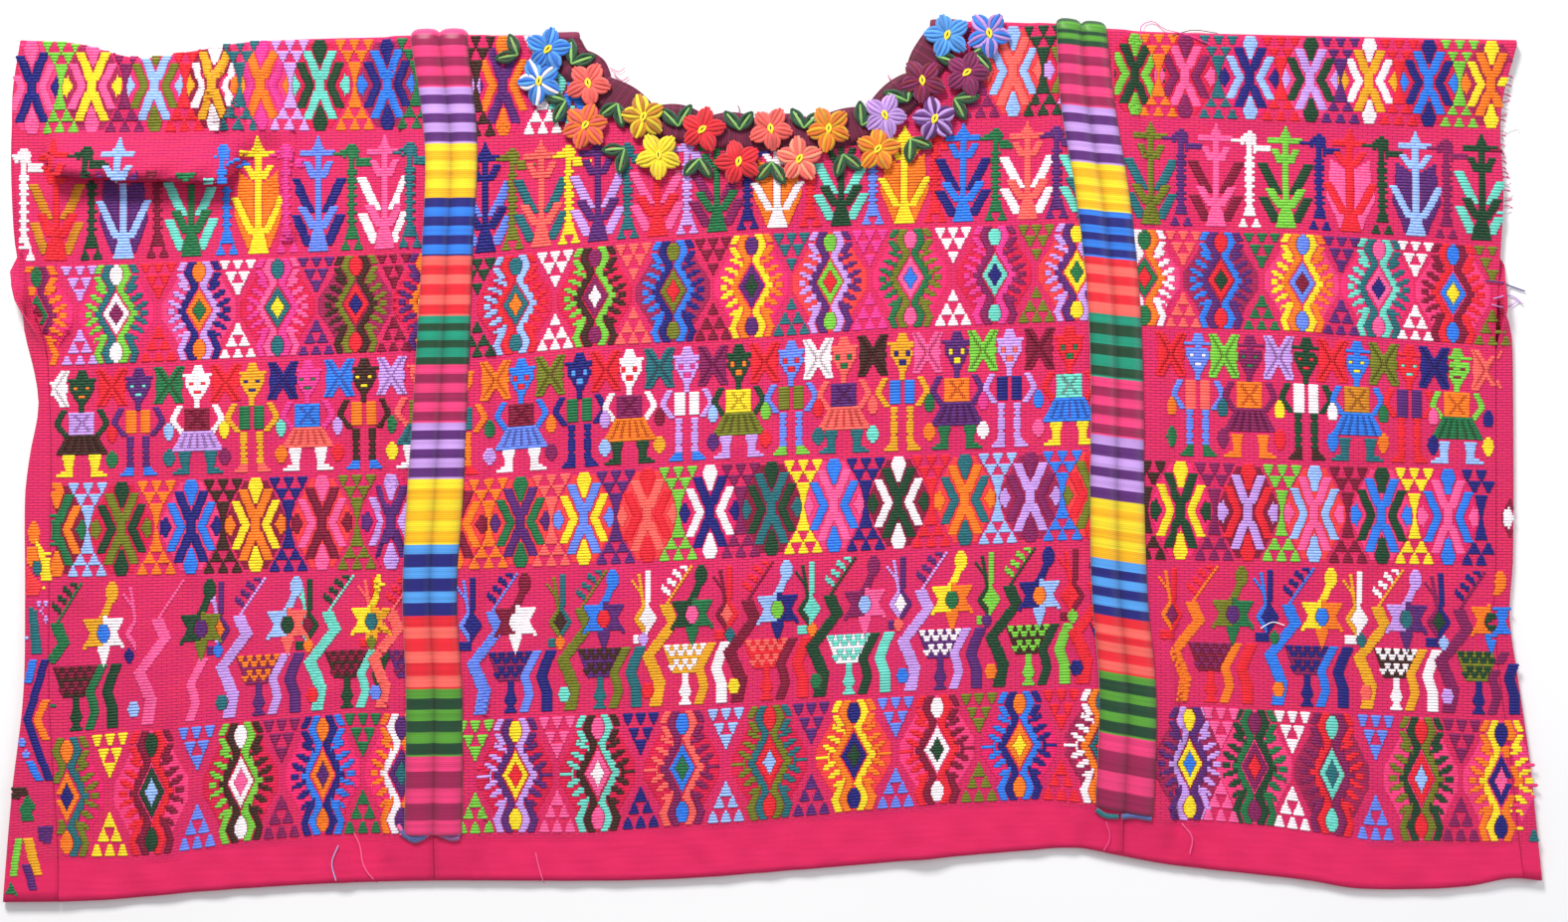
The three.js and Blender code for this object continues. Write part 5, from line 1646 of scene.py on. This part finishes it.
def makeNeckBand(material):
    def onFrontAt(x, y, out):
        return frontPoint(x, rowOf(x, y), out)

    def onBackAt(x, y, out):
        return backPoint(x, rowOf(x, y), out)

    length = float(np.linalg.norm(np.diff(throughPoints(neckPoints), axis=0), axis=1).sum())
    frontCount = 2 * int(length / neckTrim["pitch"])
    sections, shades = [], []
    burgundy = dyeLinear["burgundy"]
    stitchTones = random.Random(brocade["seed"])
    places, outward, lobes = neckStations(frontCount)
    for i in range(frontCount + 1):
        sections.append(neckSection(places[i], outward[i], lobes[i], onFrontAt, i % 2))
        # painted shade: the valley between stitches is darkened; the raised stitches vary in tone at random
        tone = neckTrim["valleyShade"] if i % 2 else stitchTones.uniform(*neckTrim["tones"])
        plumShare = neckTrim["plumShare"] * (i % neckTrim["plumEvery"] == 0)
        shades += [mix(burgundy, dyeLinear["plum"], plumShare) * tone] * len(sections[0])
    for atX, side, backwards in ((neck["right"], 1, False), (neck["left"], -1, True)):
        turns = np.linspace(0, 1, neckTrim["foldSteps"] + 2)[1:-1]
        fold = [
            neckSection(np.array([atX, turn]), np.array([side, 0.0]), 0, foldPoint, i % 2)
            for i, turn in enumerate(turns)
        ]
        if backwards:
            back, backOut, backLobes = neckStations(neckTrim["backSteps"])
            sections += [
                neckSection(back[i], backOut[i], backLobes[i], onBackAt, 0)
                for i in range(neckTrim["backSteps"], -1, -1)
            ]
            fold = fold[::-1]
        sections += fold
    shades += [burgundy] * (len(sections) * len(sections[0]) - len(shades))
    size, count = len(sections[0]), len(sections)
    faces = []
    for i in range(count):
        a, b = i * size, (i + 1) % count * size
        faces += [(a + j, a + (j + 1) % size, b + (j + 1) % size, b + j) for j in range(size)]
    made = newObject("neckBand", toFrame(np.array(sections).reshape(-1, 3)), faces)
    turnOutwards(made)
    setColours(made.data, shades)
    made.data.materials.append(material)
    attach(made, "root")
    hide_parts("neck_band")
    return made


neckBand = makeNeckBand(threadMaterial("neckThread", 0.6, 0.25, grain=1100.0))

# flowers and leaves of thick yarn
yarn = {
    "petalThick": 1.28, "leafThick": 1.15, "foot": 1.9, "arch": 1.0, "strands": 4, "steps": 9,
    "flowerReach": 13.2, "leafReach": 14.5, "seed": 11, "petalTones": (0.58, 0.98), "petalBulge": 3.6,
    "petalSway": 0.08, "petalReach": (0.9, 1.02), "outerReach": 0.88, "petalClosing": 0.8,
    "leafSpread": 36, "leafSway": 0.1, "leafBulge": 2.6, "leafTones": (0.8, 1.15),
}
# columns: x, y, petals, turn in degrees, and the dyes of the petals
neckFlowers = [
    (-126, 229, 5, 10, "blue skyBlue"), (-131, 211, 5, 40, "blue skyBlue white"),
    (-103.5, 210, 5, 65, "coral"), (-105, 186.5, 6, 15, "coral orange"),
    (-72.5, 191, 5, 30, "yellow ochre"), (-64, 169.5, 5, 50, "yellow"), (-39.5, 184, 5, 5, "red"),
    (-19, 166, 5, 35, "red"), (-1, 184.5, 5, 60, "coral"), (15, 167.5, 5, 20, "coral peach"),
    (31.5, 184.5, 5, 45, "orange gold"), (59, 173, 5, 10, "orange gold"), (63, 192, 5, 70, "lilac"),
    (91, 190, 5, 25, "lilac purple"), (84, 211.5, 5, 55, "plum maroon"), (109, 216, 5, 0, "plum"),
    (98, 237, 5, 30, "skyBlue"), (121.5, 238, 5, 60, "blue lilac"),
]
# columns: x, y, turn in degrees
neckLeaves = [
    (-143, 226, 150), (-113, 221, 60), (-116, 200.5, 200), (-87, 199, 250), (-83, 173.5, 220),
    (-53, 186, 100), (-41, 168, 260), (-18.5, 184, 90), (-0.5, 166, 270), (17.5, 185, 80),
    (39.5, 170.5, 290), (50, 186.5, 60), (76, 200, 120), (77.5, 179, 300), (92, 225.5, 20),
    (102, 201.5, 330), (113, 227.5, 350),
]


def neckTop(x, y):
    return float(frontTop(x, float(rowOf(x, y)))) + cloth["seamGap"] + neck["thickness"]


def yarnRadii(thick, count):
    share = np.linspace(0, 1, count)
    return thick * (0.62 + 0.38 * np.sin(math.pi * np.clip(share * 0.94 + 0.03, 0, 1)))


def yarnArc(x, y, heading, reach, side, low, arch, bulge, start=0.16, closing=1.0):
    share = np.linspace(start, 1, yarn["steps"])
    along = share * reach
    beside = side * bulge * np.sin(math.pi * closing * np.clip((share - 0.05) / 0.95, 0, 1))
    px = x + along * math.cos(heading) - beside * math.sin(heading)
    py = y + along * math.sin(heading) + beside * math.cos(heading)
    height = low + arch * np.sin(math.pi * share**0.8) - 0.5 * share
    return np.stack([px, py, height], -1)


def flowerLines(x, y, petals, turn, dyesUsed, random):
    used = dyesUsed.split()
    ground = neckTop(x, y) + cloth["seamGap"]
    lines = []
    for petal in range(petals):
        sway = random.uniform(-yarn["petalSway"], yarn["petalSway"])
        heading = math.radians(turn) + 2 * math.pi * petal / petals + sway
        reach = yarn["flowerReach"] * random.uniform(*yarn["petalReach"])
        for strand in range(yarn["strands"]):
            side = (strand - 1.5) / 1.5
            outermost = abs(side) == 1
            chosen = (petal + strand) % len(used) if len(used) > 2 else min(strand % 2, len(used) - 1)
            dye = dyeLinear[used[chosen]]
            arch = yarn["arch"] * (0.9 if outermost else 1.5)
            length = reach * (yarn["outerReach"] if outermost else 1.0)
            line = yarnArc(x, y, heading, length, side, ground + yarn["foot"], arch, yarn["petalBulge"],
                           closing=yarn["petalClosing"])
            radii = yarnRadii(yarn["petalThick"], yarn["steps"])
            lines.append((line, radii, dye * random.uniform(*yarn["petalTones"])))
    across = math.radians(turn + 40)
    for side in (-1, 1):
        line = yarnArc(x - 3 * math.cos(across), y - 3 * math.sin(across), across, 6, side,
                       ground + yarn["foot"] + 1.5, 0.7, 1.1, start=0)
        lines.append((line, yarnRadii(0.75, yarn["steps"]), dyeLinear["yellow"]))
    slit = yarnArc(x - 2 * math.cos(across), y - 2 * math.sin(across), across, 4, 0,
                   ground + yarn["foot"] + 1.4, 0.4, 0, start=0)
    lines.append((slit, yarnRadii(0.42, yarn["steps"]), dyeLinear["brown"] * 0.4))
    return lines


def leafLines(x, y, turn, random):
    ground = neckTop(x, y) + cloth["seamGap"] * 0.5
    lines = []
    for spread in (-1, 1):
        sway = random.uniform(-yarn["leafSway"], yarn["leafSway"])
        heading = math.radians(turn + spread * yarn["leafSpread"]) + sway
        reach = yarn["leafReach"] * random.uniform(0.85, 1.0)
        for side, dye, low in ((-1, "darkGreen", 0.9), (1, "darkGreen", 0.9), (0, "paleLeaf", 1.3)):
            bulge = yarn["leafBulge"] if side else 0
            length = reach if side else reach * 0.86
            line = yarnArc(x, y, heading, length, side, ground + low, 0.7, bulge, 0.02)
            lines.append((line, yarnRadii(yarn["leafThick"] * (1 if side else 0.8), yarn["steps"]),
                          dyeLinear[dye] * random.uniform(*yarn["leafTones"])))
    return lines


yarnMaterial = threadMaterial("yarn", 0.66, 0.3, grain=700.0, unevenness=0.35, depth=0.0003)
twists = random.Random(yarn["seed"])
for i, (x, y, petals, turn, used) in enumerate(neckFlowers):
    number = f"{i + 1:02d}"
    trimmed = layYarn(f"flower{number}", flowerLines(x, y, petals, turn, used, twists), yarnMaterial,
                      replaced=(f"flower_{number}",))
    onPanel["centre"].append(trimmed)
for i, (x, y, turn) in enumerate(neckLeaves):
    number = f"{i + 1:02d}"
    trimmed = layYarn(f"leaves{number}", leafLines(x, y, turn, twists), yarnMaterial,
                      replaced=(f"leaves_{number}",))
    onPanel["centre"].append(trimmed)

# loose ends: dye, thickness, and the places they pass on the picture
threadTails = [
    ("pink", 0.34, [(355, 838), (361, 852), (365, 872), (377, 889)]),
    ("pink", 0.3, [(538, 858), (541, 872), (546, 890)]),
    ("magenta", 0.32, [(1146, 40), (1149, 24), (1161, 19), (1172, 27), (1192, 34), (1216, 44)]),
    ("brown", 0.26, [(1178, 36), (1200, 28), (1226, 31)]),
    ("navy", 0.4, [(1494, 282), (1516, 285), (1537, 292)]),
    ("lilac", 0.36, [(1502, 300), (1522, 296), (1535, 305)]),
    ("lilac", 0.32, [(1500, 306), (1517, 309), (1531, 301)]),
    ("white", 0.3, [(1510, 134), (1527, 126), (1531, 130)]),
    ("pink", 0.3, [(616, 72), (624, 79), (631, 75)]), ("pink", 0.26, [(612, 66), (621, 70), (627, 66)]),
    ("plum", 0.26, [(741, 118), (743, 108), (741, 104)]),
    ("lilac", 0.3, [(775, 122), (778, 113), (783, 110)]),
    ("plum", 0.28, [(926, 58), (920, 54), (917, 58)]), ("pink", 0.28, [(903, 80), (896, 78), (893, 73)]),
    ("white", 0.32, [(1268, 632), (1280, 626), (1292, 629)]),
    ("paleBlue", 0.3, [(340, 850), (333, 868), (337, 886)]),
    ("pink", 0.3, [(1188, 828), (1198, 842), (1196, 858)]),
    ("magenta", 0.3, [(1112, 826), (1116, 842), (1110, 856)]),
]
knots = [
    ("slate", 1.7, [(403, 835), (409, 841), (420, 842), (434, 836)]),
    ("slate", 1.5, [(407, 839), (416, 845), (427, 841)]),
    ("plumGrey", 1.6, [(437, 834), (446, 839), (463, 838)]),
    ("plumGrey", 1.5, [(442, 838), (453, 843), (462, 842)]),
    ("teal", 1.5, [(1102, 814), (1111, 820), (1124, 821)]),
    ("slate", 1.6, [(1127, 821), (1140, 820), (1157, 823)]),
    ("pink", 1.2, [(400, 829), (404, 836), (403, 839)]),
]
tails = {"steps": 12, "fringe": 34, "fringeReach": 3.2, "fringeThick": 0.3}
evaluated = bpy.context.evaluated_depsgraph_get()
clothSurfaces = [BVHTree.FromObject(panel, evaluated) for panel in panels.values()]


def restHeight(px, py):
    start = Vector(toFrame([float(planX(px)), float(planY(py)), 100.0]))
    hits = [surface.ray_cast(start, Vector((0, 0, -1)))[0] for surface in clothSurfaces]
    return max([0.0] + [hit.z / millimetre for hit in hits if hit is not None])


def tailLine(dye, thick, places, above):
    share = np.linspace(0, 1, tails["steps"])
    knotsAt = np.linspace(0, 1, len(places))
    px, py = (curve([(t, place[i]) for t, place in zip(knotsAt, places)])(share) for i in (0, 1))
    height = [restHeight(x, y) + above for x, y in zip(px, py)]
    height = np.convolve(np.pad(height, 1, mode="edge"), (0.25, 0.5, 0.25), mode="valid")
    line = np.stack([planX(px), planY(py), np.maximum(height, thick * 0.6)], -1)
    return line, np.full(len(line), thick), dyeLinear[dye]


tailLines = [tailLine(dye, thick, places, 1.3) for dye, thick, places in threadTails]
tailLines += [tailLine(dye, thick, places, 0.9) for dye, thick, places in knots]
for i in range(tails["fringe"]):
    py = mix(74, 216, i / tails["fringe"]) + twists.uniform(-2, 2)
    edge = float(pictureX(outerEdges[1](planY(py))))
    tip = edge + twists.uniform(1, tails["fringeReach"])
    places = [(edge - 5, py), (edge - 1, py + twists.uniform(-1, 1)), (tip, py + twists.uniform(-3, 3))]
    tailLines.append(tailLine(twists.choice(["pink", "white", "magenta"]), tails["fringeThick"], places, 0.5))
threadEnds = layYarn("threadEnds", tailLines, yarnMaterial, sides=4)
onPanel["right"].append(threadEnds)
print("neck trimmed")


# each length's cut, woven edge to woven edge by hem to hem; the centre's has the neck taken out
onPanel["left"].append(randas["left"])
onPanel["right"].append(randas["right"])
onPanel["centre"].append(neckBand)

# floor, light and camera
floorReach = 3.0
floorCorners = [(x * floorReach, y * floorReach, 0) for x, y in ((-1, -1), (1, -1), (1, 1), (-1, 1))]
floor = newObject("floor", floorCorners, [(0, 1, 2, 3)], smooth=False)
floorMaterial, floorTree, floorSurface = newMaterial("paleFloor", 0.9)
speckle = addNode(floorTree, "ShaderNodeTexNoise", Scale=40.0, Detail=2.0)
floorTree.links.new(mixColour(floorTree, speckle.outputs[0], (0.84, 0.84, 0.85), (0.88, 0.88, 0.89)),
                    floorSurface.inputs["Base Color"])
floor.data.materials.append(floorMaterial)

lighting = {
    "world": (0.95, 0.97, 1.0), "worldStrength": 0.5,
    # name, place, width, power, colour
    "lamps": [
        ("keyLight", (-0.45, 1.3, 1.1), 0.45, 36, (1.0, 0.97, 0.94)),
        ("sideLight", (1.3, 0.3, 1.1), 0.8, 7, (0.95, 0.97, 1.0)),
    ],
}
world = bpy.data.worlds.new("softRoom")
world.use_nodes = True
world.node_tree.nodes["Background"].inputs[0].default_value = (*lighting["world"], 1)
world.node_tree.nodes["Background"].inputs[1].default_value = lighting["worldStrength"]
bpy.context.scene.world = world
for lampName, place, width, power, tint in lighting["lamps"]:
    lampData = bpy.data.lights.new(lampName, "AREA")
    lampData.size, lampData.energy, lampData.color = width, power, tint
    lamp = bpy.data.objects.new(lampName, lampData)
    lamp.location = place
    lamp.rotation_euler = (-Vector(place)).to_track_quat("-Z", "Y").to_euler()
    bpy.context.scene.collection.objects.link(lamp)

cameraData = bpy.data.cameras.new("overheadCamera")
cameraData.lens, cameraData.sensor_width = 50, 36
camera = bpy.data.objects.new("overheadCamera", cameraData)
clothTop = 0.008
frameWidth = plan["width"] * plan["scale"] * millimetre
pictureMiddle = (plan["width"] / 2, plan["height"] / 2)
camera.location = (
    float(planX(pictureMiddle[0])) * millimetre,
    (float(planY(pictureMiddle[1])) + planShift) * millimetre,
    clothTop + frameWidth * cameraData.lens / cameraData.sensor_width,
)
bpy.context.scene.collection.objects.link(camera)
bpy.context.scene.camera = camera
bpy.context.scene.view_settings.view_transform = "Standard"

print("scene ready")
